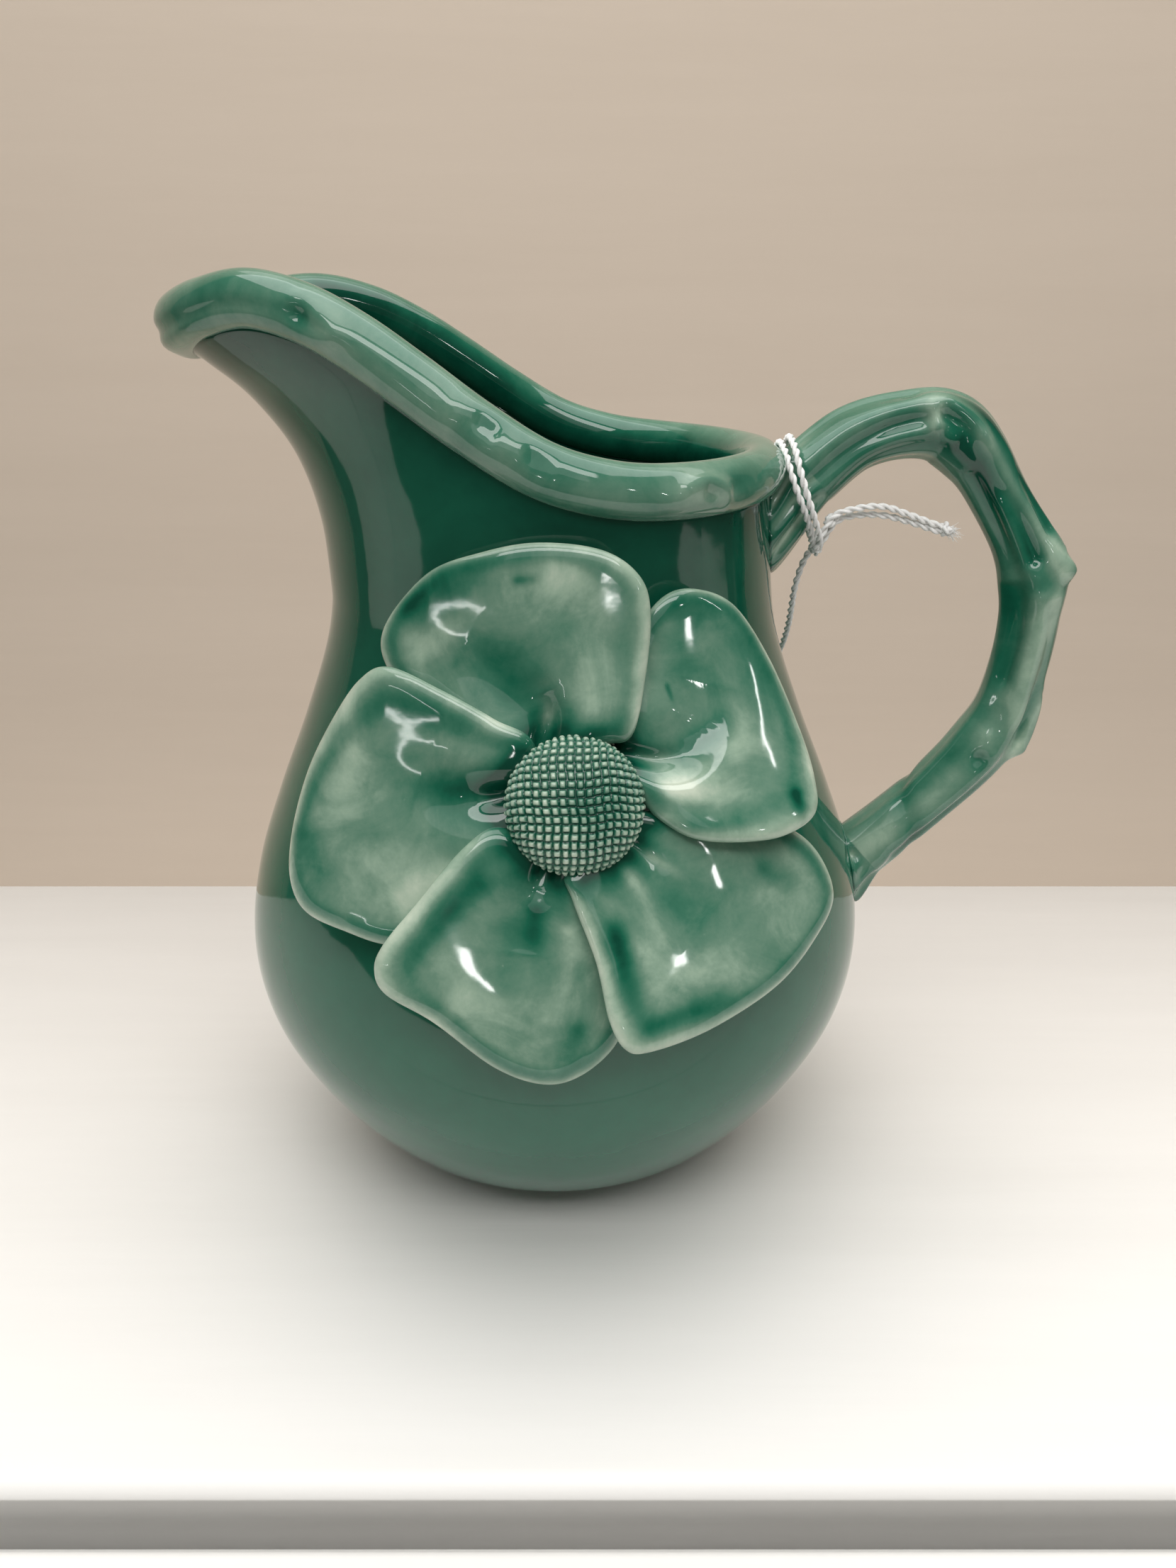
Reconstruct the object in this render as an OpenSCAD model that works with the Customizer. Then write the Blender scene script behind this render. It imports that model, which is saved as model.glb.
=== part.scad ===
// Glazed ceramic pitcher with a twig rim, a bent twig handle and an applied five-petal flower.
// The origin is the centre of the foot on the resting surface, +Z up.
// The spout points along -X, the handle along +X, and the flower faces -Y.
// Every clay piece is formed apart and joined with slip. A cotton tag string is tied to the handle.

/* [Body] */
// Radius of the belly at its widest
belly_r = 78.2; // [76.5:0.1:79.5]
// Radius of the neck under the rim
neck_r = 50; // [48:0.1:51.5]
// Thickness of the body wall
wall = 4.6; // [4.2:0.1:5.2]
// Height of the inside floor
floor_z = 8; // [6:0.5:10]
// Height of the foot ring
foot_h = 3; // [2:0.5:4]
// Inner radius of the foot ring
foot_in = 30; // [26:1:31]
// Width of the foot ring
foot_w = 7; // [5:0.5:8]

/* [Spout and rim] */
// How far the lip of the spout stands out beyond the neck
spout_reach = 36.5; // [34:0.5:39]
// Half of the angle that the spout spreads over
spout_spread = 36; // [32:1:39]
// How much wider the mouth is across the pitcher than along it
mouth_widen = 3; // [0:0.5:4]
// Radius of the rolled twig along the rim
rim_r = 5.6; // [5.2:0.1:6.2]
// Extra radius of that twig at the very lip
lip_swell = 0.9; // [0:0.1:1.5]

/* [Handle] */
// Radius of the handle's twig
twig_r = 7.5; // [7:0.1:8.2]
// Depth of the flutes along the twig
flute = 0.05; // [0:0.01:0.1]

/* [Flower] */
// Thickness of a petal
petal_t = 4.4; // [3.6:0.1:5]
// Height of the petals' middle above the body
petal_gap = 7.6; // [7:0.1:9]
// How closely the petals follow the body as it falls away
petal_follow = 0.55; // [0.45:0.05:0.65]
// How far one side of a petal is raised and the other lowered
petal_tilt = 2.6; // [2:0.1:3]
// How far the raised side of a petal curls up
petal_cup = 2; // [1:0.1:3]
// Radius of the woven dome in the middle
dome_r = 13.7; // [12.5:0.1:14]

/* [String] */
// Diameter of the cotton string
string_d = 1.4; // [1.2:0.1:1.6]

/* [Hidden] */

GLAZE = [0.16, 0.50, 0.42];
PALE_GLAZE = [0.42, 0.64, 0.55];
BISQUE = [0.86, 0.80, 0.70];
COTTON = [0.93, 0.92, 0.90];

// Steps round the body, and up the outside and the inside of its wall
ROUND = 60;
ROWS = 30;
INNER_ROWS = 26;
// Steps round the rim twig, the handle, a petal and a string
RIM_SIDES = 13;
TWIG_SIDES = 16;
PETAL_SIDES = 28;
STRING_SIDES = 8;

// Outside of the body as [height, radius]: the belly as a share of its widest, then the neck as
// the share of the way from the neck's radius to the belly's
BELLY = [[foot_h, 0.47], [8, 0.63], [18, 0.76], [32, 0.883], [48, 0.975], [64, 1]];
SHOULDER = [[82, 0.89], [100, 0.66], [120, 0.365], [140, 0.12], [158, 0.04], [180, 0], [216, 0]];
BODY = concat(
    [for (s = BELLY) [s[0], s[1] * belly_r]],
    [for (s = SHOULDER) [s[0], neck_r + s[1] * (belly_r - neck_r)]]);
// Share of the spout's reach by height
SPOUT = [[148, 0], [163, 0.06], [170, 0.11], [176, 0.17], [182, 0.25], [188, 0.36], [194, 0.5],
    [200, 0.7], [206, 0.87], [214, 1]];
// Height of the rim twig's middle by the angle away from the spout
RIM_LINE = [[0, 206], [10, 208], [20, 210.5], [30, 212], [40, 209.5], [50, 204.5], [60, 198.5],
    [75, 189.5], [90, 181.8], [105, 178], [120, 176.8], [150, 176.6], [180, 177]];
// Sharpness of the spout's flanks
SPOUT_POWER = 1.7;
// Height where the neck starts to widen into the mouth
WIDEN_Z = 142;
// The wall is measured square to the rim above this height, and square to the axis far below it
TURN_Z = 130;

// Middle line of the handle as [x, z], from the neck over the top and down to the belly
TWIG = [[60, 174.5], [69, 182], [79.5, 185.2], [90, 185], [98, 178.8], [105, 169], [112, 158],
    [115.2, 150], [115.6, 140.5], [114.6, 129], [112, 117], [106.7, 106.4], [98.8, 96.6], [89, 86.6],
    [80.4, 78.5]];
// Thickness of the twig along that line as [point, share of its radius]
TWIG_SWELL = [[0, 1.05], [2, 0.97], [3.4, 1.1], [4.6, 0.93], [5.6, 0.93], [6.6, 1.06], [7.2, 1.08], [8, 0.98],
    [10, 0.95], [10.8, 1.04], [11.6, 1.02], [12.4, 0.98], [14, 1.04]];
// Where the roots meet the body: middle height, half height and half width
ROOT_UPPER = [162.5, 12.5, 13];
ROOT_LOWER = [75.5, 13, 12.5];

// Middle of the flower on the body, and the way it faces: across, up and out
FLOWER_AT = [5.9, -61.5, 116.8];
FLOWER_TURN = 5.5;
FLOWER_TIP = 23;
ACROSS = [cos(FLOWER_TURN), sin(FLOWER_TURN), 0];
OUT = [sin(FLOWER_TURN) * cos(FLOWER_TIP), -cos(FLOWER_TURN) * cos(FLOWER_TIP), sin(FLOWER_TIP)];
UP = cross(OUT, ACROSS);
// Middle of the dome in the flower's plane, and the height of the pad's top, where it sits
DOME_AT = [-0.9, 0.6];
PAD_TOP = 3.2;

// A petal is its outline in the flower's plane as [across, up], its middle, the angle it points
// along, the angle of its pinched crease, and its half width
PETAL_TOP = [[[5, 12], [11, 14], [14, 26], [15, 37], [13, 44], [6, 49], [-6, 51], [-17, 50], [-28, 47],
    [-37, 38], [-37, 30], [-30, 21], [-18, 12], [-9, 8]], [-9, 33], 98, 104, 25];
PETAL_RIGHT = [[[12, 2], [16, -3], [23, -7], [33, -8], [42, -7], [49, -3], [50, 4], [48, 14], [42, 29],
    [34, 40], [25, 43], [18, 41], [12, 33], [9, 22], [8, 10]], [29, 15], 27, 12, 23];
PETAL_LOW_RIGHT = [[[-3, -12], [-2, -18], [2, -30], [4, -41], [7, -47], [12, -48], [25, -45], [40, -38],
    [50, -29], [55, -21], [52, -12], [45, -6], [34, -3], [23, -3], [14, -1], [6, -4]],
    [24, -26], -47, -52, 24];
PETAL_LOW_LEFT = [[[-8, -7], [-16, -3], [-23, -7], [-32, -17], [-39, -25], [-41, -30], [-39, -35],
    [-30, -41], [-18, -51], [-8, -55], [0, -53], [7, -46], [8, -36], [5, -22], [0, -11]],
    [-16, -30], 242, 247, 23];
PETAL_LEFT = [[[-8, 12], [-16, 18], [-26, 24], [-36, 29], [-42, 27], [-48, 20], [-54, 10], [-58, -2],
    [-59, -12], [-56, -19], [-48, -23], [-37, -26], [-27, -21], [-19, -12], [-12, -4]],
    [-34, 3], 176, 182, 24];
// Shape of a petal's rounded edge as [share of the way out, share of its half thickness]
PETAL_EDGE = [[0.3, 1], [0.55, 1], [0.75, 1], [0.88, 1], [0.95, 0.93], [0.98, 0.7], [1, 0.3]];

// Middle lines of the string. The wrap goes twice round the handle and hangs a little below it.
WRAP = [[61, -3, 158.2], [59.6, -7.5, 162.5], [57.4, -10.8, 167.4], [55.4, -11.7, 171.6],
    [53.8, -10.4, 176], [52.9, -6.5, 179.8], [52.6, 0, 181.4], [52.9, 6.5, 179.8], [53.8, 10.4, 176],
    [55.4, 11.7, 171.6], [57.4, 10.8, 167.4], [60.4, 7.5, 162], [62.4, 3, 158.4],
    [62.8, -2, 157.6], [61.6, -7.4, 161.4], [59.4, -10.8, 166.6], [57.4, -11.6, 171.6],
    [55.8, -10.4, 176.6], [55, -6.6, 180.8], [54.7, 0, 182.6], [55, 6.6, 180.8], [55.8, 10.4, 176.6],
    [57.4, 11.6, 171.6], [59.4, 10.8, 166.6], [62, 7.4, 161.4], [63.6, 3.4, 158.2]];
TAIL_A = [[61.6, -4.6, 157.8], [62.6, -6, 161.6], [64, -6.6, 164.8], [66, -6.6, 166.5], [69, -6.4, 167.3],
    [73, -6.2, 167.9], [77, -5.8, 167.7], [81, -5.5, 166.4], [85, -5.2, 165], [88, -5, 163.9],
    [90.6, -5, 163.2]];
TAIL_B = [[62, -2.6, 157], [63.4, -4, 160], [64.8, -4.8, 163], [66.8, -5, 164.9], [70, -4.8, 165.6],
    [74, -4.6, 165.8], [78, -4.6, 165.4], [82, -4.6, 164.4], [86, -4.6, 163.2], [88, -4.6, 162.5],
    [90.6, -4.6, 161.8]];
DROP = [[61, 0, 156.4], [59.7, 1.6, 152.6], [58.9, 4, 147], [59, 7.4, 141.6], [59.3, 12, 135.6],
    [59.2, 18, 129], [58.4, 24.5, 122.5], [56.8, 31, 116], [54.6, 37, 110.4], [52.2, 42, 105.6]];

// ---- Curves and frames ----

// Number of the table's row that x falls after
function station(t, x, i = 0) = i >= len(t) - 2 || x < t[i + 1][0] ? i : station(t, x, i + 1);
function slope(t, i) = let(a = max(i - 1, 0), b = min(i + 1, len(t) - 1))
    (t[b][1] - t[a][1]) / (t[b][0] - t[a][0]);
// Smooth curve through a table's [x, y] rows, level past both ends
function smooth(t, x) = let(
    c = min(max(x, t[0][0]), t[len(t) - 1][0]),
    i = station(t, c),
    h = t[i + 1][0] - t[i][0],
    u = (c - t[i][0]) / h)
    (2 * u^3 - 3 * u^2 + 1) * t[i][1] + (u^3 - 2 * u^2 + u) * h * slope(t, i)
    + (3 * u^2 - 2 * u^3) * t[i + 1][1] + (u^3 - u^2) * h * slope(t, i + 1);
// Point of a Catmull-Rom curve between b and c, with its neighbours a and d
function between(a, b, c, d, u) =
    b + (c - a) * u / 2 + (2 * a - 5 * b + 4 * c - d) * u^2 / 2 + (3 * b - a - 3 * c + d) * u^3 / 2;
// Point of the open curve through pts at u, counted in points
function along(pts, u) = let(last = len(pts) - 1, i = min(floor(u), last - 1))
    between(pts[max(i - 1, 0)], pts[i], pts[i + 1], pts[min(i + 2, last)], u - i);
// Point of the closed curve through pts at u, counted in points
function around(pts, u) = let(n = len(pts), i = floor(u) % n)
    between(pts[(i + n - 1) % n], pts[i], pts[(i + 1) % n], pts[(i + 2) % n], u - floor(u));
// Curve from a, leaving along da, to b, arriving along db
function bend(a, da, b, db, u) = (2 * u^3 - 3 * u^2 + 1) * a + (u^3 - 2 * u^2 + u) * da
    + (3 * u^2 - 2 * u^3) * b + (u^3 - u^2) * db;
function unit(v) = v / norm(v);
function mean(pts) = [for (p = pts) 1] * pts / len(pts);
function ease(u) = let(c = min(max(u, 0), 1)) c * c * (3 - 2 * c);

// Closed solid through rings that run the same way round, each with the same number of points.
// The ends are closed to a middle point, or the last ring joins the first.
module loft(rings, joined = false, first_middle = undef, last_middle = undef) {
    n = len(rings[0]);
    m = len(rings);
    middles = joined ? [] : [
        is_undef(first_middle) ? mean(rings[0]) : first_middle,
        is_undef(last_middle) ? mean(rings[m - 1]) : last_middle];
    sides = [for (k = [0 : joined ? m - 1 : m - 2], j = [0 : n - 1])
        let(a = k * n + j, b = k * n + (j + 1) % n, c = (k + 1) % m * n + (j + 1) % n, d = (k + 1) % m * n + j)
        each [[a, d, c], [a, c, b]]];
    ends = joined ? [] : [for (j = [0 : n - 1])
        each [[m * n, j, (j + 1) % n], [m * n + 1, (m - 1) * n + (j + 1) % n, (m - 1) * n + j]]];
    polyhedron([each [for (r = rings) each r], each middles], concat(sides, ends));
}

// Tube along a route's own points, with frames carried on from one ring to the next
function carried(pts, k, side) = k == 0 ? side : let(
    t = unit(pts[min(k + 1, len(pts) - 1)] - pts[k - 1]),
    before = carried(pts, k - 1, side))
    unit(before - (before * t) * t);
module cord(route, steps = 2) {
    pts = [for (k = [0 : (len(route) - 1) * steps]) along(route, k / steps)];
    last = len(pts) - 1;
    start = unit(pts[1] - pts[0]);
    side = unit(cross(start, abs(start.z) < 0.9 ? [0, 0, 1] : [0, 1, 0]));
    loft([for (k = [0 : last]) let(
        t = unit(pts[min(k + 1, last)] - pts[max(k - 1, 0)]),
        a = carried(pts, k, side),
        b = cross(t, a))
        [for (j = [0 : STRING_SIDES - 1]) let(w = 360 * j / STRING_SIDES)
            pts[k] + string_d / 2 * (cos(w) * a + sin(w) * b)]]);
}

// ---- Body ----

function from_spout(a) = abs(((a % 360) + 360) % 360 - 180);
function outer_r(a, z) = smooth(BODY, z)
    + spout_reach * smooth(SPOUT, z) * exp(-pow(from_spout(a) / spout_spread, SPOUT_POWER))
    + mouth_widen * pow(sin(a), 2) * ease((z - WIDEN_Z) / 40);
function rim_z(a) = smooth(RIM_LINE, from_spout(a));
function on_body(a, z) = let(r = outer_r(a, z)) [r * cos(a), r * sin(a), z];
function on_rim(a) = on_body(a, rim_z(a));
// Direction of the rim at an angle, and the level direction square to it
function rim_way(a) = unit(on_rim(a + 1) - on_rim(a - 1));
function rim_out(a) = let(w = rim_way(a)) unit([w.y, -w.x, 0]);
// Middle of the rim twig, the way the wall leans as it reaches it, and the way across the wall there
function roll_middle(a) = on_rim(a) - wall / 2 * rim_out(a);
function roll_up(a) = let(w = rim_way(a), lean = unit(on_rim(a) - on_body(a, rim_z(a) - 9)))
    unit(lean - (lean * w) * w);
function roll_out(a) = cross(rim_way(a), roll_up(a));
function roll_r(a) = rim_r + lip_swell * exp(-pow(from_spout(a) / 14, 2));
// Where the wall's top edge meets the rim twig, on its outer side (1) or its inner side (-1)
function seat(a, way) = roll_middle(a) + way * wall / 2 * roll_out(a)
    - sqrt(pow(roll_r(a), 2) - pow(wall / 2, 2)) * roll_up(a);
// Level direction through the wall, which turns from square to the axis to square to the rim
function wall_out(a, z) = let(w = ease((z - TURN_Z) / (rim_z(a) - TURN_Z)))
    unit((1 - w) * [cos(a), sin(a), 0] + w * rim_out(a));
function in_body(a, z) = on_body(a, z) - wall * wall_out(a, z);

module body_wall() {
    inside_low = floor_z + 1;
    outside = [for (k = [0 : ROWS]) [for (j = [0 : ROUND - 1]) let(a = 360 * j / ROUND, top = seat(a, 1))
        k == ROWS ? top : on_body(a, foot_h + (top.z - foot_h) * k / ROWS)]];
    inside = [for (k = [INNER_ROWS : -1 : 0]) [for (j = [0 : ROUND - 1])
        let(a = 360 * j / ROUND, top = seat(a, -1))
        k == INNER_ROWS ? top : in_body(a, inside_low + (top.z - inside_low) * k / INNER_ROWS)]];
    floor_edge = [for (j = [0 : ROUND - 1]) let(p = in_body(360 * j / ROUND, inside_low))
        [0.85 * p.x, 0.85 * p.y, floor_z]];
    color(GLAZE) loft([each outside, each inside, floor_edge],
        first_middle = [0, 0, foot_h], last_middle = [0, 0, floor_z]);
}

module foot_ring() {
    bevel = 1;
    color(BISQUE) rotate_extrude($fn = 96) polygon([
        [foot_in + bevel, 0], [foot_in + foot_w - bevel, 0], [foot_in + foot_w, bevel],
        [foot_in + foot_w, foot_h], [foot_in, foot_h], [foot_in, bevel]]);
}

// ---- Rim ----

module rim_twig() {
    color(GLAZE) loft([for (j = [0 : ROUND - 1]) let(
        a = 360 * j / ROUND,
        r = roll_r(a),
        open = asin(wall / 2 / r))
        [for (k = [0 : RIM_SIDES - 1]) let(w = (180 - open) * (2 * k / (RIM_SIDES - 1) - 1))
            roll_middle(a) + r * (cos(w) * roll_up(a) + sin(w) * roll_out(a))]],
        joined = true);
}

// Low rounded mound at foot, long along way, that rises along out
module mound(foot, way, out, length, width, height) {
    across = cross(out, way);
    color(GLAZE) loft([for (h = [0, 0.4, 0.75, 0.95]) let(w = sqrt(1 - h * h))
        [for (j = [0 : 11]) foot + h * height * out
            + w * (length * cos(30 * j) * way + width * sin(30 * j) * across)]]);
}
// Knot on the rim twig at an angle, turned outwards from its top by lean
module rim_knot(a, lean, length, width, height) {
    out = cos(lean) * roll_up(a) + sin(lean) * roll_out(a);
    mound(roll_middle(a) + (roll_r(a) - 1.2) * out, rim_way(a), out, length, width, height);
}
module rim_knot_spout() rim_knot(221, 62, 4.5, 3.5, 2.4);
module rim_knot_back() rim_knot(306, 80, 4.5, 3.5, 2.6);

// ---- Handle ----

function twig_at(u) = let(p = along(TWIG, u)) [p.x, 0, p.y];
function twig_way(u) = let(e = 0.05, last = len(TWIG) - 1)
    unit(twig_at(min(u + e, last)) - twig_at(max(u - e, 0)));
// Ring of the fluted twig, which starts at the +Y side
function twig_ring(u) = let(
    t = twig_way(u),
    side = [0, 1, 0],
    up = cross(t, side),
    r = twig_r * smooth(TWIG_SWELL, u))
    [for (j = [0 : TWIG_SIDES - 1]) let(w = 360 * j / TWIG_SIDES)
        twig_at(u) + r * (1 + flute * cos(5 * w + 20 * u)) * (cos(w) * side + sin(w) * up)];
// Point of the body's outside at a height, a little to the side of the handle
function beside(y, z) = let(r = smooth(BODY, z)) [sqrt(r * r - y * y), y, z];
// Ring where a root meets the body; turn is 1 for the upper root and -1 for the lower one
function root_ring(root, turn) = [for (j = [0 : TWIG_SIDES - 1]) let(w = 360 * j / TWIG_SIDES)
    beside(root[2] * cos(w), root[0] + turn * root[1] * sin(w))];
// Scalloped bulge of a root by the way round it
function scallop(w) = 1 + 0.06 * cos(6 * w);

module handle_root(root, u, turn) {
    steps = 5;
    reach = 14;
    low = root_ring(root, turn);
    high = twig_ring(u);
    way = twig_way(u) * turn;
    foot = beside(0, root[0]);
    rings = [for (k = [0 : steps]) [for (j = [0 : TWIG_SIDES - 1]) let(
        s = k / steps,
        p = bend(low[j], [reach, 0, 0], high[j], reach * way, s),
        middle = bend(foot, [reach, 0, 0], twig_at(u), reach * way, s))
        middle + (p - middle) * (1 + (scallop(360 * j / TWIG_SIDES) - 1) * 4 * s * (1 - s))]];
    color(GLAZE)
        if (turn > 0) loft(rings, first_middle = foot);
        else loft([for (k = [steps : -1 : 0]) rings[k]], last_middle = foot);
}
module handle_root_upper() handle_root(ROOT_UPPER, 0, 1);
module handle_root_lower() handle_root(ROOT_LOWER, len(TWIG) - 1, -1);

module handle_twig() {
    rings = 42;
    color(GLAZE) loft([for (k = [0 : rings]) twig_ring((len(TWIG) - 1) * k / rings)]);
}

// Cut stub of a side twig: it leaves the handle at u, turned from the handle's way by lean
module stub(u, lean, base, tip, length, sink) {
    t = twig_way(u);
    out = cross(t, [0, 1, 0]);
    way = cos(lean) * t + sin(lean) * out;
    side = [0, 1, 0];
    up = cross(way, side);
    foot = twig_at(u) + (twig_r - sink) * out;
    color(GLAZE) loft([for (s = [[0, 1], [0.35, 0.86], [0.7, 0.72], [0.92, 0.62], [1, 0.4]])
        let(r = tip + (base - tip) * (s[1] - 0.4) / 0.6)
        [for (j = [0 : 11]) foot + length * s[0] * way + r * (cos(30 * j) * side + sin(30 * j) * up)]]);
}
module handle_knot_side() stub(5.9, 28, 5.4, 3, 9, 4.4);
module handle_knot_low() stub(10.1, 24, 5, 3, 8, 4);
// Collar knot on the near side of the top bend
module handle_knot_top() {
    u = 2.9;
    out = unit([0.2, -0.8, 0.55]);
    mound(twig_at(u) + (twig_r - 0.6) * out, twig_way(u), out, 5, 4, 2.2);
}

// ---- Flower ----

function in_flower(u, v, h) = FLOWER_AT + u * ACROSS + v * UP + h * OUT;
// How far the body lies behind the flower's plane at [u, v]
function fall(u, v, d = 0, tries = 5) = tries == 0 ? d : let(
    q = in_flower(u, v, -d),
    r = norm([q.x, q.y]),
    a = atan2(q.y, q.x),
    lean = OUT * [cos(a), sin(a), 0])
    fall(u, v, d + (r - outer_r(a, q.z)) / max(lean, 0.35), tries - 1);
// Crease that pinches a petal near the dome
function crease(along_it, off_it) = 3 * exp(-pow(off_it / 3.2, 2)) * ease((30 - along_it) / 22);
// Height of a petal's middle layer above the flower's plane
function petal_h(p, u, v) = let(
    along_it = u * cos(p[3]) + v * sin(p[3]),
    off_it = u * sin(p[3]) - v * cos(p[3]),
    side = (u * sin(p[2]) - v * cos(p[2])) / p[4],
    out = norm([u, v]))
    petal_gap - petal_follow * fall(u, v)
    + petal_tilt * max(min(side, 1), -1) * ease(out / 20)
    + petal_cup * pow(max(side, 0), 2) - crease(along_it, off_it);

module petal(p) {
    rings = [for (s = PETAL_EDGE) [for (j = [0 : PETAL_SIDES - 1])
        p[1] + s[0] * (around(p[0], j * len(p[0]) / PETAL_SIDES) - p[1])]];
    function layer(k, way) = [for (q = rings[k])
        in_flower(q.x, q.y, petal_h(p, q.x, q.y) + way * PETAL_EDGE[k][1] * petal_t / 2)];
    last = len(PETAL_EDGE) - 1;
    middle_h = petal_h(p, p[1].x, p[1].y);
    color(PALE_GLAZE) loft(
        [each [for (k = [0 : last]) layer(k, -1)], each [for (k = [last : -1 : 0]) layer(k, 1)]],
        first_middle = in_flower(p[1].x, p[1].y, middle_h - petal_t / 2),
        last_middle = in_flower(p[1].x, p[1].y, middle_h + petal_t / 2));
}
module petal_top() petal(PETAL_TOP);
module petal_right() petal(PETAL_RIGHT);
module petal_low_right() petal(PETAL_LOW_RIGHT);
module petal_low_left() petal(PETAL_LOW_LEFT);
module petal_left() petal(PETAL_LEFT);

// Clay seat between the body and the flower
module flower_pad() {
    function disc(r, h) = [for (j = [0 : 23]) in_flower(r * cos(15 * j), r * sin(15 * j), h)];
    seat = [for (j = [0 : 23]) let(u = 16 * cos(15 * j), v = 16 * sin(15 * j))
        in_flower(u, v, -fall(u, v))];
    color(GLAZE) loft([seat, disc(15, 1.4), disc(12.5, 2.6), disc(9.5, PAD_TOP)],
        first_middle = in_flower(0, 0, -fall(0, 0)));
}

// Dome with a narrow waist where it sits between the petals
module flower_centre() {
    waist = 8.5;
    swell = 6.3;
    top = 13.4;
    profile = [
        [0, 0], [waist, 0], [waist, swell - 3.5], [dome_r - 1, swell - 2],
        for (w = [0 : 7.5 : 82.5]) [dome_r * cos(w), swell + (top - swell) * sin(w)],
        [0, top]];
    translate(in_flower(DOME_AT.x, DOME_AT.y, PAD_TOP)) rotate([0, 0, FLOWER_TURN]) rotate([90 - FLOWER_TIP, 0, 0])
        color(PALE_GLAZE) rotate_extrude($fn = 72) polygon(profile);
}

// ---- String ----

module knot(at, r) color(COTTON) translate(at) sphere(r, $fn = 24);
module string_wrap() color(COTTON) cord(WRAP);
module string_hitch() knot([62, -2.2, 157.4], 1.9);
module string_tail_a() color(COTTON) cord(TAIL_A);
module string_tail_b() color(COTTON) cord(TAIL_B);
module string_tail_knot() knot([64.6, -5.2, 164.6], 1.9);
module string_end_knot() knot([91.4, -4.8, 162.4], 1.9);
module string_drop() color(COTTON) cord(DROP);
module string_drop_knot() knot([51.8, 42.6, 105], 1.8);

body_wall();
foot_ring();
rim_twig();
rim_knot_spout();
rim_knot_back();
handle_root_upper();
handle_twig();
handle_knot_top();
handle_knot_side();
handle_knot_low();
handle_root_lower();
flower_pad();
petal_top();
petal_right();
petal_low_right();
petal_low_left();
petal_left();
flower_centre();
string_wrap();
string_hitch();
string_tail_a();
string_tail_b();
string_tail_knot();
string_end_knot();
string_drop();
string_drop_knot();
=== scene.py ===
"""Looks of a glazed ceramic pitcher with a twig rim, a bent twig handle and an applied flower.

The frame is the pitcher's own: origin at the centre of its foot, +Z up, spout along -X, handle along +X,
flower facing -Y. Shapes are worked out in millimetres, and piece() turns them into metres.
"""
import math

import bpy
import numpy as np
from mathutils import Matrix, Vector


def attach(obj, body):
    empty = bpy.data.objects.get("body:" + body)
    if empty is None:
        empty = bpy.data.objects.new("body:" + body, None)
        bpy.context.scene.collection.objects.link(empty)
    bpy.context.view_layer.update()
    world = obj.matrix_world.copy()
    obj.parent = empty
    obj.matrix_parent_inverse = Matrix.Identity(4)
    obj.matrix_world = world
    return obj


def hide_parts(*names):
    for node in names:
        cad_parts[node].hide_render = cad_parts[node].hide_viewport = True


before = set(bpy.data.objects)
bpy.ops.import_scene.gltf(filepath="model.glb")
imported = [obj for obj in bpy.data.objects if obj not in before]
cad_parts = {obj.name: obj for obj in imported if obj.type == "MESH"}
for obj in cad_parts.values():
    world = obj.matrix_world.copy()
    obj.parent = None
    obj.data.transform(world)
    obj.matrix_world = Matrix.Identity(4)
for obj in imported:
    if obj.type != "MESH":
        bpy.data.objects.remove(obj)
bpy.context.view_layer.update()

MM = 0.001

# ---- Driving dimensions, as in the CAD source ----

BELLY_R = 78.2
NECK_R = 50
WALL = 4.6
FLOOR_Z = 8
FOOT_H = 3
SPOUT_REACH = 36.5
SPOUT_SPREAD = 36
SPOUT_POWER = 1.7
MOUTH_WIDEN = 3
WIDEN_Z = 142
TURN_Z = 130
RIM_R = 5.6
LIP_SWELL = 0.9
TWIG_R = 7.5
FLUTE = 0.05
PETAL_T = 4.4
PETAL_GAP = 7.6
PETAL_FOLLOW = 0.55
PETAL_TILT = 2.6
PETAL_CUP = 2
DOME_R = 13.7
PAD_TOP = 3.2

# Outside of the body, then the spout's share of its reach, both by height
BELLY = [[FOOT_H, 0.47], [8, 0.63], [18, 0.76], [32, 0.883], [48, 0.975], [64, 1]]
SHOULDER = [[82, 0.89], [100, 0.66], [120, 0.365], [140, 0.12], [158, 0.04], [180, 0], [216, 0]]
BODY = [[z, s * BELLY_R] for z, s in BELLY] + [[z, NECK_R + s * (BELLY_R - NECK_R)] for z, s in SHOULDER]
SPOUT = [[148, 0], [163, 0.06], [170, 0.11], [176, 0.17], [182, 0.25], [188, 0.36], [194, 0.5],
         [200, 0.7], [206, 0.87], [214, 1]]
# Height of the rim twig's middle by the angle away from the spout
RIM_LINE = [[0, 206], [10, 208], [20, 210.5], [30, 212], [40, 209.5], [50, 204.5], [60, 198.5],
            [75, 189.5], [90, 181.8], [105, 178], [120, 176.8], [150, 176.6], [180, 177]]

# Middle line of the handle as [x, z], and its thickness along that line
TWIG = [[60, 174.5], [69, 182], [79.5, 185.2], [90, 185], [98, 178.8], [105, 169], [112, 158],
        [115.2, 150], [115.6, 140.5], [114.6, 129], [112, 117], [106.7, 106.4], [98.8, 96.6], [89, 86.6],
        [80.4, 78.5]]
TWIG_SWELL = [[0, 1.05], [2, 0.97], [3.4, 1.1], [4.6, 0.93], [5.6, 0.93], [6.6, 1.06], [7.2, 1.08], [8, 0.98],
              [10, 0.95], [10.8, 1.04], [11.6, 1.02], [12.4, 0.98], [14, 1.04]]
# Where the roots meet the body: middle height, half height and half width
ROOT_UPPER = [162.5, 12.5, 13]
ROOT_LOWER = [75.5, 13, 12.5]

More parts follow.
